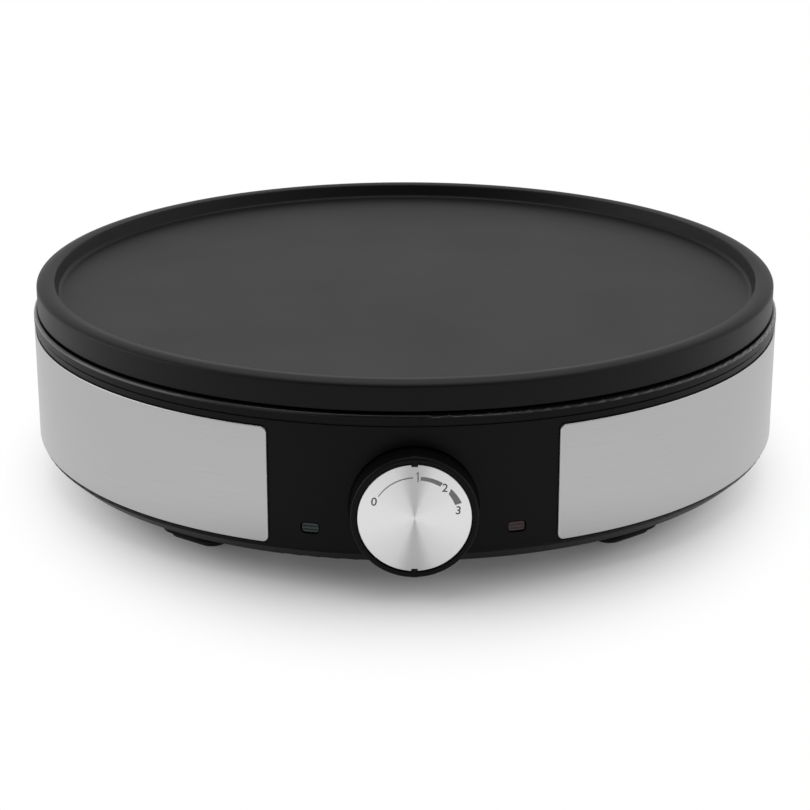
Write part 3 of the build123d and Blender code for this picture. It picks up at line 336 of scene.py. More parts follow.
def moulded_plastic(name, colour, roughness, gloss=0.5, flanged=False):
    """Moulded thermoplastic: the mould's spark-eroded grain softens its gloss. A flanged part
    has its shoulder polished in the mould."""
    material, tree, place = new_tree(name)
    grain, grain_depth, flow_size = 0.4 * mm, 0.006 * mm, 35 * mm
    texture = noise(tree, place, grain, detail=3)
    flow = noise(tree, place, flow_size)
    shoulder, normal = shoulder_normal(tree, place) if flanged else (None, None)
    surface(
        tree,
        {
            "Base Color": shades(tree, texture, colour, 0.8, 1.2),
            "Roughness": spread(tree, flow, roughness - 0.04, roughness + 0.04),
            "Specular IOR Level": gloss,
            "Coat Weight": spread(tree, shoulder, 0, 0.75) if flanged else 0,
            "Coat Roughness": 0.2,
            "Normal": relief(tree, texture, grain_depth, normal),
        },
    )
    return material


def brushed_steel(colour):
    """Stainless steel, brushed along the band: fine level lines that draw each highlight out
    upwards and downwards."""
    material, tree, place = new_tree("Stainless steel, brushed")
    # the lines are drawn coarser than real ones, so that they show
    line_length, line_pitch, line_depth = 28 * mm, 0.45 * mm, 0.004 * mm
    axes = split(tree, place)
    turn = maths(tree, "ARCTAN2", axes["X"], axes["Y"])
    along = maths(tree, "MULTIPLY", turn, panel_high.x / line_length)
    across = maths(tree, "MULTIPLY", axes["Z"], 1 / line_pitch)
    lines = noise(tree, combined(tree, X=along, Y=across), 1, detail=4, roughness=0.6)
    normal = add(tree, "ShaderNodeNewGeometry").outputs["Normal"]
    surface(
        tree,
        {
            "Base Color": shades(tree, lines, colour, 0.9, 1.1),
            "Metallic": 1.0,
            "Roughness": spread(tree, lines, 0.26, 0.38),
            "Anisotropic": 0.75,
            "Tangent": vector_maths(tree, "CROSS_PRODUCT", {0: normal, 1: (0, 0, 1)}),
            "Normal": relief(tree, lines, line_depth),
        },
    )
    return material


def spun_aluminium(colour):
    """Aluminium, faced on a lathe: rings too fine to see, under a broad soft glare. The dark wedges
    above and below its centre are painted reflection in its colour: the shade a spun disc reflects
    there, painted so that it turns with the knob."""
    material, tree, place = new_tree("Aluminium, spun")
    ring_pitch = 0.12 * mm
    axes = split(tree, place)
    height = maths(tree, "SUBTRACT", axes["Z"], knob_z)
    flat = combined(tree, X=axes["X"], Y=height)
    radius = vector_maths(tree, "LENGTH", {0: flat}, "Value")
    rings = maths(tree, "MULTIPLY", radius, 1 / ring_pitch)
    cut = add(tree, "ShaderNodeTexNoise", {"W": rings}, noise_dimensions="1D").outputs["Fac"]
    # painted reflection: the colour is darker in wedges above and below the centre, standing in for
    # the shade the rings reflect
    turn = maths(tree, "ARCTAN2", axes["X"], height)
    aside = maths(tree, "ABSOLUTE", maths(tree, "SINE", turn))
    beside_painted_wedges = spread(tree, aside, 0, 1, start=0.05, end=0.45, smooth=True)
    tangent = add(tree, "ShaderNodeTangent", direction_type="RADIAL", axis="Y")
    surface(
        tree,
        {
            "Base Color": shades(tree, mixed(tree, 0.2, beside_painted_wedges, cut), colour, 0.68, 1.03),
            "Metallic": 1.0,
            "Roughness": spread(tree, cut, 0.24, 0.3),
            "Anisotropic": 0.95,
            "Anisotropic Rotation": 0.25,
            "Tangent": tangent.outputs["Tangent"],
        },
    )
    return material


def speckled(name, colour, dark, light, size, detail, sockets):
    """A material whose colour varies a little, with a pattern of one size."""
    material, tree, place = new_tree(name)
    pattern = noise(tree, place, size, detail)
    surface(tree, {"Base Color": shades(tree, pattern, colour, dark, light), **sockets})
    return material


def printed_ink(name, colour):
    """Pad-printed ink: a thin matt film."""
    return speckled(name, colour, 0.9, 1.1, 0.3 * mm, 2, {"Roughness": 0.6})


def tinted_lens(name, colour):
    """Polycarbonate, moulded and tinted: deep colour under a satin face."""
    sockets = {
        "Roughness": 0.22,
        "IOR": 1.58,
        "Specular IOR Level": 0.35,
        "Transmission Weight": 0.25,
    }
    return speckled(name, colour, 0.9, 1.1, 1.5 * mm, 2, sockets)


def fired_ceramic(name, colour):
    """Steatite, pressed and fired: pale, matt and slightly speckled."""
    return speckled(name, colour, 0.88, 1.05, 0.6 * mm, 4, {"Roughness": 0.65, "IOR": 1.6})


def lamp_glass(name, colour):
    """Soda glass, drawn: clear, with a faint warm tint from the filled tube."""
    sockets = {"Roughness": 0.05, "IOR": 1.52, "Transmission Weight": 0.8}
    return speckled(name, colour, 0.95, 1.0, 2 * mm, 2, sockets)


def rubber(name, colour):
    """Rubber, compression moulded: matt, with a powdery bloom."""
    material, tree, place = new_tree(name)
    bloom = noise(tree, place, 2 * mm, detail=4)
    surface(
        tree,
        {
            "Base Color": shades(tree, bloom, colour, 0.8, 1.3),
            "Roughness": spread(tree, bloom, 0.7, 0.9),
            "IOR": 1.52,
        },
    )
    return material


def worked_metal(name, colour, roughness, grain):
    """Metal with the fine grain of plating, rolling or turning."""
    material, tree, place = new_tree(name)
    texture = noise(tree, place, grain, detail=4)
    surface(
        tree,
        {
            "Base Color": shades(tree, texture, colour, 0.85, 1.1),
            "Metallic": 1.0,
            "Roughness": spread(tree, texture, roughness - 0.08, roughness + 0.08),
        },
    )
    return material


def woven_sleeve(name, colour):
    """Glass fibre, braided: pale yarns that cross at an angle."""
    material, tree, place = new_tree(name)
    wave_size, yarn_depth = 9 * mm, 0.1 * mm
    sockets = {"Vector": place, "Scale": 1 / wave_size}
    yarn = add(tree, "ShaderNodeTexWave", sockets, bands_direction="DIAGONAL").outputs["Fac"]
    surface(
        tree,
        {
            "Base Color": shades(tree, yarn, colour, 0.8, 1.0),
            "Roughness": 0.8,
            "Normal": relief(tree, yarn, yarn_depth),
        },
    )
    return material


# ------------------------------------------------------------------ meshes
def new_piece(name, vertices, faces, material, body, replaced, sharp=35):
    """A mesh object that rides on a body and stands for CAD nodes."""
    mesh = bpy.data.meshes.new(name)
    mesh.from_pydata([tuple(v) for v in vertices], [], faces)
    mesh.validate()
    mesh.shade_smooth()
    mesh.set_sharp_from_angle(angle=radians(sharp))
    piece = bpy.data.objects.new(name, mesh)
    bpy.context.scene.collection.objects.link(piece)
    piece.data.materials.append(material)
    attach(piece, body)
    if replaced:
        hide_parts(*replaced)
    return piece


def paint(material, *names):
    """Give CAD nodes a material."""
    for name in names:
        mesh = frame["nodes"][name].data
        mesh.materials.clear()
        mesh.materials.append(material)


def rounded(corners, steps=8):
    """Outline through corners of (across, up, radius), each turned into an arc of its radius."""
    outline = [Vector(corners[0][:2])]
    for before, corner, after in zip(corners, corners[1:], corners[2:]):
        here, radius = Vector(corner[:2]), corner[2]
        back = (Vector(before[:2]) - here).normalized()
        on = (Vector(after[:2]) - here).normalized()
        if radius == 0:
            outline.append(here)
            continue
        half = back.angle(on) / 2
        centre = here + (back + on).normalized() * radius / sin(half)
        start = here + back * radius / tan(half) - centre
        end = here + on * radius / tan(half) - centre
        outline += [centre + radius * start.slerp(end, step / steps) for step in range(steps + 1)]
    outline.append(Vector(corners[-1][:2]))
    return outline


def turned(outline, foot=Vector(), sweep=(0, 2 * pi), segments=360, ring=False):
    """Vertices and faces of an outline of (radius, height) turned about an upright axis. The
    angle starts at the front. A ring's outline is closed, and another ends in two flat faces."""
    whole = sweep[1] - sweep[0] > 2 * pi - 0.001
    columns = segments if whole else segments + 1
    count = len(outline)
    vertices, faces = [], []
    for column in range(columns):
        angle = sweep[0] + (sweep[1] - sweep[0]) * column / segments
        out = cos(angle) * forward + sin(angle) * rightward
        vertices += [foot + radius * out + height * upward for radius, height in outline]
    for column in range(segments):
        here, there = column * count, (column + 1) % columns * count
        for point in range(count if ring else count - 1):
            after = (point + 1) % count
            faces.append((here + point, there + point, there + after, here + after))
    if not whole:
        faces.append(tuple(range(count)))
        faces.append(tuple(reversed(range(segments * count, columns * count))))
    elif not ring:
        faces.append(tuple(reversed(range(0, columns * count, count))))
        faces.append(tuple(range(count - 1, columns * count, count)))
    return vertices, faces


def tube(foot, inner, outer, low, high):
    """Vertices and faces of a short upright tube."""
    wall = [(inner, low), (outer, low), (outer, high), (inner, high)]
    return turned(wall, Vector((foot[0], foot[1], 0)), segments=48, ring=True)


def block(centre, across, along, up):
    """Vertices and faces of a block, given by its middle and its three half sizes."""
    corners = [(-1, -1), (1, -1), (1, 1), (-1, 1)]
    vertices = [centre + x * across + y * along + z * up for z in (-1, 1) for x, y in corners]
    faces = [(3, 2, 1, 0), (4, 5, 6, 7), (0, 1, 5, 4), (1, 2, 6, 5), (2, 3, 7, 6), (3, 0, 4, 7)]
    return vertices, faces


def bands(loops, count, inward=False):
    """Faces between closed loops that have the same count of vertices."""
    faces = []
    for here in range(0, (loops - 1) * count, count):
        for point in range(count):
            after = (point + 1) % count
            face = (here + point, here + after, here + count + after, here + count + point)
            faces.append((face[0], face[3], face[2], face[1]) if inward else face)
    return faces


def joined(parts):
    """Vertices and faces of several parts as one mesh."""
    vertices, faces = [], []
    for more_vertices, more_faces in parts:
        start = len(vertices)
        vertices += more_vertices
        faces += [tuple(start + corner for corner in face) for face in more_faces]
    return vertices, faces


def around(radius, angle):
    """Point of a circle about the body's axis. The angle starts at the front."""
    return radius * sin(radians(angle)), -radius * cos(radians(angle))


# ------------------------------------------------------------------ operators
class CREPE_OT_plate(bpy.types.Operator):
    """Cast the baking plate with its raised rim, and coat it."""

    bl_idname = "crepe.plate"
    bl_label = "Baking plate"

    def execute(self, context):
        settings = context.scene.crepe_maker.plate
        coating = baked_coating(settings.coating, settings.coating_roughness)
        vertices, faces = cast_plate(settings)
        new_piece(
            "cast_plate", vertices, faces, coating, "housing", ["baking_plate"]
        )
        return {"FINISHED"}


def cast_plate(settings):
    """Vertices and faces of the plate: tray, skirt, and the rail, posts, studs and pad below."""
    edge, crest = plate_high.x, plate_high.z
    cook = crest - settings.tray_depth
    skirt = crest - settings.skirt_height
    floor_thickness, skirt_width, middle = 4.1 * mm, 3.6 * mm, 40 * mm
    under = cook - floor_thickness
    rim_sag, tray_lean = 0.3 * mm, 1.6 * mm
    under_round, skirt_round, rim_round, tray_round = 1.0 * mm, 0.5 * mm, 0.9 * mm, 1.8 * mm
    inner_edge = edge - settings.rim_width
    tray = inner_edge - tray_lean
    outline = rounded(
        [
            (middle, under, 0),
            (edge - skirt_width, under, under_round),
            (edge - skirt_width, skirt, skirt_round),
            (edge, skirt, skirt_round),
            (edge, crest - settings.dome_drop, 0),
        ]
    )
    dome_steps = 24
    for step in range(1, dome_steps):
        turn = pi / 2 * step / dome_steps
        across = edge - settings.dome_width * (1 - cos(turn))
        up = crest - settings.dome_drop * (1 - sin(turn))
        outline.append(Vector((across, up)))
    outline += rounded(
        [
            (edge - settings.dome_width, crest, 0),
            (inner_edge, crest - rim_sag, rim_round),
            (tray, cook, tray_round),
            (middle, cook, 0),
        ]
    )
    parts = [turned(outline)]
    # rail that holds the heating element, open at the rear where its ends turn down
    rail_circle, rail_half, slot_half = 98 * mm, 7 * mm, 3.4 * mm
    rail_gap_angle, arch_steps = 14, 12
    low = plate_low.z
    root = 1.0 * mm  # how far rails and posts run into the plate
    slot_top = low + slot_half
    turns = [pi * step / arch_steps for step in range(arch_steps, -1, -1)]
    arch = [
        (rail_circle + slot_half * cos(turn), slot_top + slot_half * sin(turn)) for turn in turns
    ]
    rail = [
        (rail_circle - rail_half, low),
        (rail_circle - slot_half, low),
        *arch,
        (rail_circle + slot_half, low),
        (rail_circle + rail_half, low),
        (rail_circle + rail_half, under + root),
        (rail_circle - rail_half, under + root),
    ]
    end = radians(180 - rail_gap_angle)
    parts.append(turned(rail, sweep=(-end, end), segments=200, ring=True))
    # posts that the plate stands on, and studs for the reflector's screws
    post_circle, post_bore, post_radius, post_length = 132 * mm, 2.05 * mm, 6.0 * mm, 5.9 * mm
    stud_circle, stud_bore, stud_radius = 60 * mm, 1.45 * mm, 4.5 * mm
    top = under + root
    for turn in (-120, -60, 60, 120):
        foot = around(post_circle, turn)
        parts.append(tube(foot, post_bore, post_radius, under - post_length, top))
    for turn in (45, 135, 225, 315):
        parts.append(tube(around(stud_circle, turn), stud_bore, stud_radius, low, top))
    # pad that the thermostat's bracket is screwed to
    half_width, half_depth, half_height, pad_front = 12 * mm, 5.5 * mm, 3.45 * mm, 132 * mm
    centre = Vector((0, half_depth - pad_front, top - half_height))
    across, along, up = half_width * rightward, -half_depth * forward, half_height * upward
    parts.append(block(centre, across, along, up))
    return joined(parts)


class CREPE_OT_housing(bpy.types.Operator):
    """Mould the housing, the base cover and the cord gland."""

    bl_idname = "crepe.housing"
    bl_label = "Housing"

    def execute(self, context):
        settings = context.scene.crepe_maker.housing
        plastic = moulded_plastic(
            "ABS, moulded, fine satin", settings.plastic, 0.4, gloss=0.1, flanged=True
        )
        paint(plastic, "body_shell", "knob_body")
        grained = moulded_plastic(
            "Polypropylene, moulded, grained", settings.plastic, 0.5, gloss=0.1
        )
        paint(grained, "base_cover", "cord_gland")
        return {"FINISHED"}


class CREPE_OT_panels(bpy.types.Operator):
    """Punch and curve the two brushed steel panels."""

    bl_idname = "crepe.panels"
    bl_label = "Steel panels"

    def execute(self, context):
        settings = context.scene.crepe_maker.panels
        steel = brushed_steel(settings.steel)
        radius = panel_high.x
        low, high = panel_low.z, panel_high.z
        for side, name in ((-1, "left"), (1, "right")):
            sheet = curved_panel(radius, low, high, settings, side)
            vertices, faces = joined([sheet, *panel_tabs(radius, low, high, settings, side)])
            new_piece(
                f"brushed_panel_{name}",
                vertices,
                faces,
                steel,
                "housing",
                [f"steel_panel_{name}"],
                sharp=50,
            )
        return {"FINISHED"}


def curved_panel(radius, low, high, settings, side):
    """Vertices and faces of a curved sheet with round corners and rounded edges."""
    start = settings.front_angle * radius
    end = settings.rear_angle * radius
    sheet, edge = settings.sheet, settings.edge_round
    corner_steps, bend_steps, edge_steps = 6, 120, 4
    # each loop of the edge: how far in from the outline, and how far back from the face
    loops = []
    for step in range(edge_steps + 1):
        angle = pi / 2 * step / edge_steps
        loops.append((edge * (1 - sin(angle)), edge * (1 - cos(angle))))
    loops.append((0, sheet))
    vertices = []
    for inset, back in loops:
        corner = settings.corner - inset
        left, right = start + inset + corner, end - inset - corner
        turns = [pi / 2 * step / corner_steps for step in range(corner_steps + 1)]
        columns = [(left - corner * cos(turn), corner * (1 - sin(turn))) for turn in turns]
        columns += [
            (left + (right - left) * step / bend_steps, 0) for step in range(1, bend_steps)
        ]
        columns += [
            (right + corner * cos(turn), corner * (1 - sin(turn))) for turn in reversed(turns)
        ]
        loop = [(s, low + inset + rise) for s, rise in columns]
        loop += [(s, high - inset - rise) for s, rise in reversed(columns)]
        for s, z in loop:
            angle = s / radius
            reach = radius - back
            vertices.append(Vector((side * reach * sin(angle), -reach * cos(angle), z)))
    count = len(loop)
    half = count // 2
    faces = bands(len(loops), count, inward=True)
    last = (len(loops) - 1) * count
    for column in range(half - 1):
        face = (column, column + 1, count - 2 - column, count - 1 - column)
        faces.append(face)
        faces.append(tuple(last + face[corner] for corner in (0, 3, 2, 1)))
    if side < 0:
        faces = [tuple(reversed(face)) for face in faces]
    return vertices, faces


def panel_tabs(radius, low, high, settings, side):
    """The bent tabs that hold a sheet, five pairs along its back."""
    width, reach, inset = 6.0 * mm, 4.6 * mm, 7.0 * mm
    back = radius - settings.sheet
    tabs = []
    for angle in (34, 62, 90, 118, 146):
        turn = side * radians(angle)
        out = cos(turn) * forward + sin(turn) * rightward
        along = cos(turn) * rightward - sin(turn) * forward
        for height in (low + inset, high - inset):
            middle = (back - reach / 2) * out + height * upward
            tabs.append(
                block(middle, width / 2 * along, reach / 2 * -out, settings.sheet / 2 * upward)
            )
    return tabs


class CREPE_OT_knob(bpy.types.Operator):
    """Spin the knob's face and print its scale."""

    bl_idname = "crepe.knob"
    bl_label = "Knob"

    def execute(self, context):
        settings = context.scene.crepe_maker.knob
        vertices, faces = spun_face()
        new_piece(
            "spun_face",
            vertices,
            faces,
            spun_aluminium(settings.aluminium),
            "knob",
            ["knob_face"],
            sharp=15,
        )
        prints = (
            ("printed_scale", printed_marks(settings), "Ink, pad-printed, pale", settings.pale_ink),
            ("printed_numbers", printed_numbers(settings), "Ink, pad-printed", settings.ink),
        )
        for name, (vertices, faces), ink_name, colour in prints:
            ink = printed_ink(ink_name, colour)
            new_piece(name, vertices, faces, ink, "knob", [])
        return {"FINISHED"}


def spun_face():
    """Vertices and faces of the disc, with a slot for each grip rib and a turned edge."""
    rib_half_width, rib_depth, face_edge, bevel = 1.2 * mm, 0.7 * mm, 0.2 * mm, 0.06 * mm
    slot_angle = rib_half_width / face_radius
    slot_radius = face_radius - rib_depth
    edge_points = 60

    def outline(inset):
        points = []
        for half in (0, 1):
            base = half * pi
            first, last = base + slot_angle, base + pi - slot_angle
            for step in range(edge_points + 1):
                angle = first + (last - first) * step / edge_points
                points.append((angle, face_radius - inset))
            points.append((last, slot_radius - inset))
            points.append((base + pi + slot_angle, slot_radius - inset))
        return points

    rings = [
        (0, face_back),
        (0, face_front - face_edge),
        (bevel, face_front - bevel),
        (face_edge, face_front),
    ]
    vertices = []
    for inset, distance in rings:
        for angle, radius in outline(inset):
            vertices.append(Vector((radius * sin(angle), -distance, knob_z + radius * cos(angle))))
    count = len(outline(0))
    faces = bands(len(rings), count)
    top = (len(rings) - 1) * count
    middle = len(vertices)
    vertices.append(Vector((0, -face_front, knob_z)))
    for point in range(count):
        faces.append((top + point, top + (point + 1) % count, middle))
    rear = len(vertices)
    vertices.append(Vector((0, -face_back, knob_z)))
    for point in range(count):
        faces.append(((point + 1) % count, point, rear))
    return vertices, faces


def dial_point(angle, radius, across=0.0, up=0.0):
    """Point on the knob's face. The angle runs clockwise from 12 o'clock, in degrees."""
    film = 0.02 * mm
    turn = radians(angle)
    return Vector(
        (radius * sin(turn) + across, -(face_front + film), knob_z + radius * cos(turn) + up)
    )


def swept_mark(inner, outer, steps=24):
    """A curved mark of the scale between two arcs of (first angle, last angle, first radius in
    mm, last radius in mm)."""
    vertices, faces = [], []
    for step in range(steps + 1):
        share = step / steps
        for first, last, start, end in (inner, outer):
            angle = first + (last - first) * share
            vertices.append(dial_point(angle, (start + (end - start) * share) * mm))
    for step in range(steps):
        corner = 2 * step
        faces.append((corner, corner + 2, corner + 3, corner + 1))
    return vertices, faces


def printed_marks(settings):
    """Vertices and faces of the fine line, the two growing wedges and the tall 1."""
    parts = [
        swept_mark((-57, -2, 15.05, 15.05), (-57, -2, 15.4, 15.55)),
        swept_mark((8, 37, 14.4, 14.9), (8, 37, 15.8, 16.6)),
        swept_mark((53, 71, 15.0, 15.1), (49, 71, 16.9, 17.6)),
    ]
    stroke, height, flag, flag_drop = 0.24 * mm, 1.9 * mm, 0.75 * mm, 0.3 * mm
    one_angle = 4.4
    tall_one = [
        (-stroke, -height),
        (stroke, -height),
        (stroke, height),
        (0, height),
        (-flag, height - flag),
        (-flag, height - flag - flag_drop),
        (-stroke, height - flag),
    ]
    vertices = [dial_point(one_angle, settings.number_radius, *corner) for corner in tall_one]
    parts.append((vertices, [tuple(range(len(vertices)))]))
    return joined(parts)


def printed_number(text, angle, settings):
    """A printed number, upright on the face with a slight lean."""
    lean = radians(6)
    curve = bpy.data.curves.new(f"number_{text}", "FONT")
    curve.body = text
    digit_height, boldness = 0.73, 0.012  # as shares of the letter size
    curve.size = settings.number_height / digit_height
    curve.offset = boldness * curve.size
    holder = bpy.data.objects.new(curve.name, curve)
    mesh = bpy.data.meshes.new_from_object(holder)
    points = [v.co for v in mesh.vertices]
    middle_x = (min(p.x for p in points) + max(p.x for p in points)) / 2
    middle_y = (min(p.y for p in points) + max(p.y for p in points)) / 2
    vertices = []
    for p in points:
        x, y = p.x - middle_x, p.y - middle_y
        across = x * cos(lean) + y * sin(lean)
        up = y * cos(lean) - x * sin(lean)
        vertices.append(dial_point(angle, settings.number_radius, across, up))
    faces = [tuple(face.vertices) for face in mesh.polygons]
    bpy.data.objects.remove(holder)
    bpy.data.curves.remove(curve)
    bpy.data.meshes.remove(mesh)
    return vertices, faces


def printed_numbers(settings):
    """Vertices and faces of the numbers."""
    number_angles = {"0": -65.7, "2": 43, "3": 79.2}
    return joined([printed_number(text, angle, settings) for text, angle in number_angles.items()])


class CREPE_OT_lenses(bpy.types.Operator):
    """Mould the two indicator windows."""

    bl_idname = "crepe.lenses"
    bl_label = "Indicator windows"

    def execute(self, context):
        settings = context.scene.crepe_maker.lenses
        windows = (
            (-1, "power_lens", "green", settings.power),
            (1, "ready_lens", "red", settings.ready),
        )
        for side, node, shade, colour in windows:
            vertices, faces = fluted_lens(side * settings.angle, settings)
            lens = tinted_lens(f"Polycarbonate, moulded, {shade}", colour)
            new_piece(
                f"fluted_{node}", vertices, faces, lens, "housing", [node], sharp=60
            )
        return {"FINISHED"}


def window_half_height(across, width, height, corner):
    """Half height of a window with round corners, at a distance from its middle."""
    beyond = max(abs(across) - (width / 2 - corner), 0)
    return height / 2 - corner + (corner**2 - min(beyond, corner) ** 2) ** 0.5


def fluted_lens(turn, settings):
    """Vertices and faces of a window: three level pillows over a body with an inner flange."""
    width, height, corner = settings.width, settings.height, 1.5 * mm
    face, seat, back = 151.6 * mm, 149.5 * mm, 148.5 * mm
    band = height / 3
    soft_edge, flange_reach = 0.35 * mm, 1.3 * mm
    out = cos(turn) * forward + sin(turn) * rightward
    along = cos(turn) * rightward - sin(turn) * forward
    columns, rows = 48, 48

    def place(across, up, distance):
        return distance * out + across * along + (lens_height + up) * upward

    def column_place(column):
        return -width / 2 * cos(pi * column / columns)

    vertices, faces = [], []
    for column in range(columns + 1):
        across = column_place(column)
        half = window_half_height(across, width, height, corner)
        for row in range(rows + 1):
            up = half * (2 * row / rows - 1)
            pillow = abs(cos(pi * up / band)) ** 0.6
            margin = min(width / 2 - abs(across), half - abs(up)) / soft_edge
            fall = soft_edge * (1 - min(margin, 1)) ** 2
            distance = face - settings.flute_depth * (1 - pillow) - fall
            vertices.append(place(across, up, distance))
    stride = rows + 1
    for column in range(columns):
        for row in range(rows):
            first = column * stride + row
            faces.append((first, first + stride, first + stride + 1, first + 1))
    rim = [column * stride for column in range(columns + 1)]
    rim += [columns * stride + row for row in range(1, rows + 1)]
    rim += [column * stride + rows for column in range(columns - 1, -1, -1)]
    rim += [row for row in range(rows - 1, 0, -1)]
    start = len(vertices)
    for number in rim:
        vertex = vertices[number]
        vertices.append(vertex + (seat - vertex.dot(out)) * out)
    for number, corner_here in enumerate(rim):
        after = (number + 1) % len(rim)
        faces.append((corner_here, start + number, start + after, rim[after]))
    faces.append(tuple(reversed(range(start, start + len(rim)))))
    flange = block(
        place(0, 0, (seat + back) / 2),
        (width / 2 + flange_reach) * along,
        (seat - back) / 2 * -out,
        (height / 2 + flange_reach) * upward,
    )
    return joined([(vertices, faces), flange])


class CREPE_OT_feet(bpy.types.Operator):
    """Mould the four rubber feet."""

    bl_idname = "crepe.feet"
    bl_label = "Feet"

    def execute(self, context):
        corners = ("front_left", "front_right", "rear_left", "rear_right")
        feet = [f"foot_{corner}" for corner in corners]
        paint(rubber("Rubber, compression moulded", linear("#1a1a1a")), *feet)
        return {"FINISHED"}


class CREPE_OT_inner_parts(bpy.types.Operator):
    """Finish the fasteners and everything inside the body."""

    bl_idname = "crepe.inner_parts"
    bl_label = "Inner parts"

    def execute(self, context):
        metals = {
            "element_sheath": ("Steel tube, drawn and oxidised", "#5c5853", 0.5, 1.5),
            "zinc_steel": ("Steel, zinc plated", "#c9c8c2", 0.3, 0.8),
            "aluminised_steel": ("Steel sheet, aluminised", "#b9b9b6", 0.4, 3),
            "brass": ("Brass, turned", "#c9a765", 0.3, 0.6),
            "bimetal": ("Bimetal strip, rolled", "#a89a88", 0.35, 0.5),
            "silver": ("Silver, pressed", "#dcdcdc", 0.3, 0.5),
        }
        leads = {
            "black": "#1c1c1c",
            "brown": "#4a2a16",
            "blue": "#1f4f9c",
            "green": "#2f7d3a",
            "red": "#9c2020",
        }
        finishes = {
            slot: worked_metal(name, linear(code), roughness, grain * mm)
            for slot, (name, code, roughness, grain) in metals.items()
        }
        finishes["ceramic"] = fired_ceramic("Steatite, pressed and fired", linear("#e3ddd0"))
        finishes["lamp_glass"] = lamp_glass("Soda glass, drawn", linear("#e8ddd0"))
        finishes["glass_sleeve"] = woven_sleeve("Glass fibre, braided", linear("#d8d6c8"))
        finishes["grey_nylon"] = moulded_plastic("Nylon, moulded", linear("#a8a8a8"), 0.45)
        for shade, code in leads.items():
            name = f"Silicone, extruded, {shade}"
            finishes[f"{shade}_lead"] = moulded_plastic(name, linear(code), 0.5)
        for part in frame["record"]["subparts"]:
            if part["material_slot"] in finishes:
                paint(finishes[part["material_slot"]], part["node"])
        return {"FINISHED"}


class CREPE_OT_stage(bpy.types.Operator):
    """Set up the camera, the floor and the lamps."""

    bl_idname = "crepe.stage"
    bl_label = "Stage"

    def execute(self, context):
        settings = context.scene.crepe_maker.stage
        place_camera(settings)
        lay_floor()
        light_studio(settings)
        context.scene.view_settings.view_transform = "Standard"
        return {"FINISHED"}


def place_camera(settings):
    """Camera in front of the knob, a little above the plate."""
    camera = bpy.data.cameras.new("camera")
    camera.lens = settings.focal_length
    camera.sensor_width = 36
    holder = bpy.data.objects.new("camera", camera)
    bpy.context.scene.collection.objects.link(holder)
    a, e, p = settings.azimuth, settings.elevation, settings.pitch
    middle = Vector((0, 0, settings.aim_height))
    away = Vector((sin(a) * cos(e), -cos(a) * cos(e), sin(e)))
    look = Vector((-sin(a) * cos(p), cos(a) * cos(p), -sin(p)))
    holder.location = middle + settings.distance * away
    holder.rotation_mode = "QUATERNION"
    holder.rotation_quaternion = look.to_track_quat("-Z", "Y")
    bpy.context.scene.camera = holder


def lay_floor():
    """Round white floor that holds the shadow, and is plain white away from the object."""
    radius, corners = 6.0, 64
    near_glow, far_glow = 0.085, 1.0
    white_start, white_end, side_stretch = 0.15, 0.235, 1.35
    mesh = bpy.data.meshes.new("floor")
    turns = [2 * pi * corner / corners for corner in range(corners)]
    rim = [(radius * cos(turn), radius * sin(turn), 0) for turn in turns]
    mesh.from_pydata(rim, [], [tuple(range(corners))])
    floor = bpy.data.objects.new("floor", mesh)
    bpy.context.scene.collection.objects.link(floor)
    material, tree, place = new_tree("Acrylic sheet, white, satin")
    board = add(
        tree,
        "ShaderNodeBsdfPrincipled",
        {"Base Color": (*linear("#eeeeee"), 1), "Roughness": 0.3, "Specular IOR Level": 0.2},
    ).outputs["BSDF"]
    lift, far = [
        add(tree, "ShaderNodeEmission", {"Color": (1, 1, 1, 1), "Strength": strength})
        for strength in (near_glow, far_glow)
    ]
    near = add(tree, "ShaderNodeAddShader", {0: board, 1: lift.outputs["Emission"]})
    # the shadow is shorter at the sides than in front, so the white starts nearer there
    wide = vector_maths(tree, "MULTIPLY", {0: place, 1: (side_stretch, 1, 1)})
    distance = vector_maths(tree, "LENGTH", {0: wide}, "Value")
    edge = spread(tree, distance, 0, 1, start=white_start, end=white_end, smooth=True)
    seen_floor = add(
        tree,
        "ShaderNodeMixShader",
        {"Fac": edge, 1: near.outputs["Shader"], 2: far.outputs["Emission"]},
    )
    rays = add(tree, "ShaderNodeLightPath").outputs
    seen = maths(tree, "MAXIMUM", rays["Is Camera Ray"], rays["Is Glossy Ray"])
    through = maths(tree, "MAXIMUM", seen, rays["Is Transmission Ray"])
    sockets = {"Fac": through, 1: board, 2: seen_floor.outputs["Shader"]}
    shown = add(tree, "ShaderNodeMixShader", sockets)
    add(tree, "ShaderNodeOutputMaterial", {"Surface": shown.outputs["Shader"]})
    mesh.materials.append(material)


def softbox(name, place, target, size, watts):
    """Rectangular area lamp that points at a place."""
    lamp = bpy.data.lights.new(name, "AREA")
    lamp.shape = "RECTANGLE"
    lamp.size, lamp.size_y = size
    lamp.energy = watts
    holder = bpy.data.objects.new(name, lamp)
    bpy.context.scene.collection.objects.link(holder)
    holder.location = place
    holder.rotation_mode = "QUATERNION"
    holder.rotation_quaternion = (Vector(target) - Vector(place)).to_track_quat("-Z", "Y")


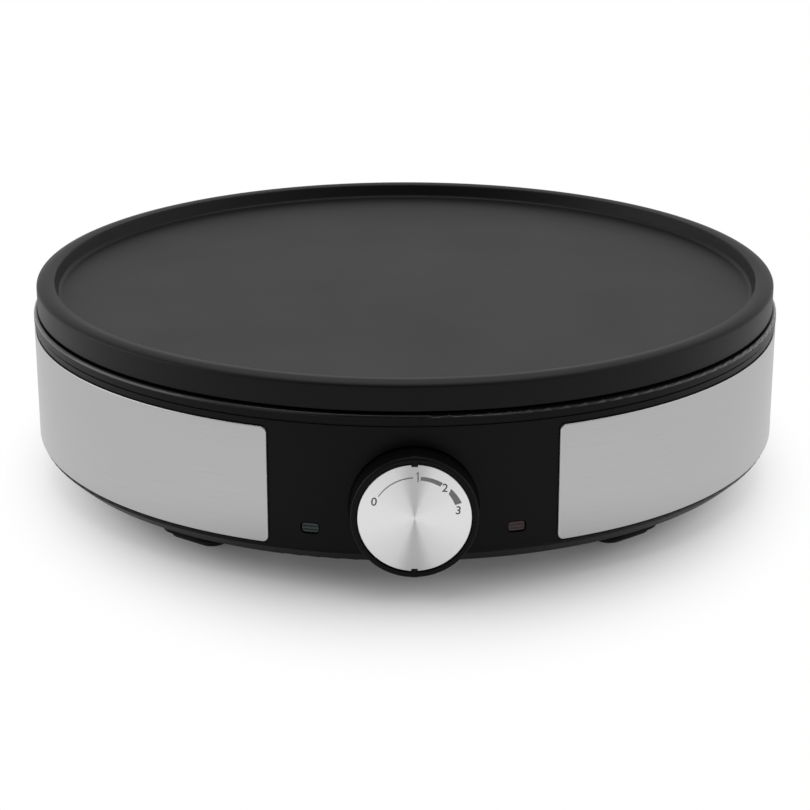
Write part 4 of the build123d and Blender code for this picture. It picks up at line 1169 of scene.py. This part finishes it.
def light_studio(settings):
    """A room with a white horizon, dimmer in front than behind, and five softboxes."""
    world = bpy.data.worlds.new("studio")
    bpy.context.scene.world = world
    world.use_nodes = True
    tree = world.node_tree
    tree.nodes.clear()
    axes = split(tree, add(tree, "ShaderNodeTexCoord").outputs["Generated"])
    room = spread(tree, axes["Y"], 0.05, 0.75, start=-0.6, end=0.9)
    horizon = spread(tree, axes["Y"], 0.15, 1, start=-0.6, end=0.1)
    height = spread(tree, axes["Z"], 0, 1, start=0.05, end=0.4, smooth=True)
    sockets = {"Color": (1, 1, 1, 1), "Strength": mixed(tree, height, horizon, room)}
    glow = add(tree, "ShaderNodeBackground", sockets)
    add(tree, "ShaderNodeOutputWorld", {"Surface": glow.outputs["Background"]})
    softbox("top", (0, 0.3, 1.25), (0, 0, 0), (1.2, 1.0), settings.top_power)
    lamp_distance, target = 1.5, (0, 0, 0.03)
    lamps = (
        ("front_left", -58, 35, (1.5, 1.1), settings.front_left_power),
        ("front_right", 52, 35, (1.5, 1.1), settings.front_right_power),
        ("side_left", -92, 22, (1.3, 0.9), settings.side_left_power),
        ("side_right", 92, 22, (1.3, 0.9), settings.side_right_power),
    )
    for name, azimuth, elevation, size, watts in lamps:
        turn, rise = radians(azimuth), radians(elevation)
        away = Vector((sin(turn) * cos(rise), -cos(turn) * cos(rise), sin(rise)))
        softbox(name, lamp_distance * away, target, size, watts)


class VIEW3D_PT_crepe_maker(bpy.types.Panel):
    """Buttons for each group of pieces."""

    bl_label = "Crepe maker"
    bl_space_type = "VIEW_3D"
    bl_region_type = "UI"
    bl_category = "Crepe maker"

    def draw(self, context):
        for operator in operators:
            self.layout.operator(operator.bl_idname)


operators = (
    CREPE_OT_stage,
    CREPE_OT_plate,
    CREPE_OT_housing,
    CREPE_OT_panels,
    CREPE_OT_knob,
    CREPE_OT_lenses,
    CREPE_OT_feet,
    CREPE_OT_inner_parts,
)
settings_classes = (
    PlateSettings,
    HousingSettings,
    PanelSettings,
    KnobSettings,
    LensSettings,
    StageSettings,
    CrepeMakerSettings,
)


def register():
    for each in (*settings_classes, *operators, VIEW3D_PT_crepe_maker):
        bpy.utils.register_class(each)
    bpy.types.Scene.crepe_maker = PointerProperty(type=CrepeMakerSettings)


def unregister():
    del bpy.types.Scene.crepe_maker
    for each in reversed((*settings_classes, *operators, VIEW3D_PT_crepe_maker)):
        bpy.utils.unregister_class(each)


def main():
    """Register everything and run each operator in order."""
    register()
    bpy.ops.crepe.stage()
    bpy.ops.crepe.plate()
    bpy.ops.crepe.housing()
    bpy.ops.crepe.panels()
    bpy.ops.crepe.knob()
    bpy.ops.crepe.lenses()
    bpy.ops.crepe.feet()
    bpy.ops.crepe.inner_parts()


if __name__ == "__main__":
    main()
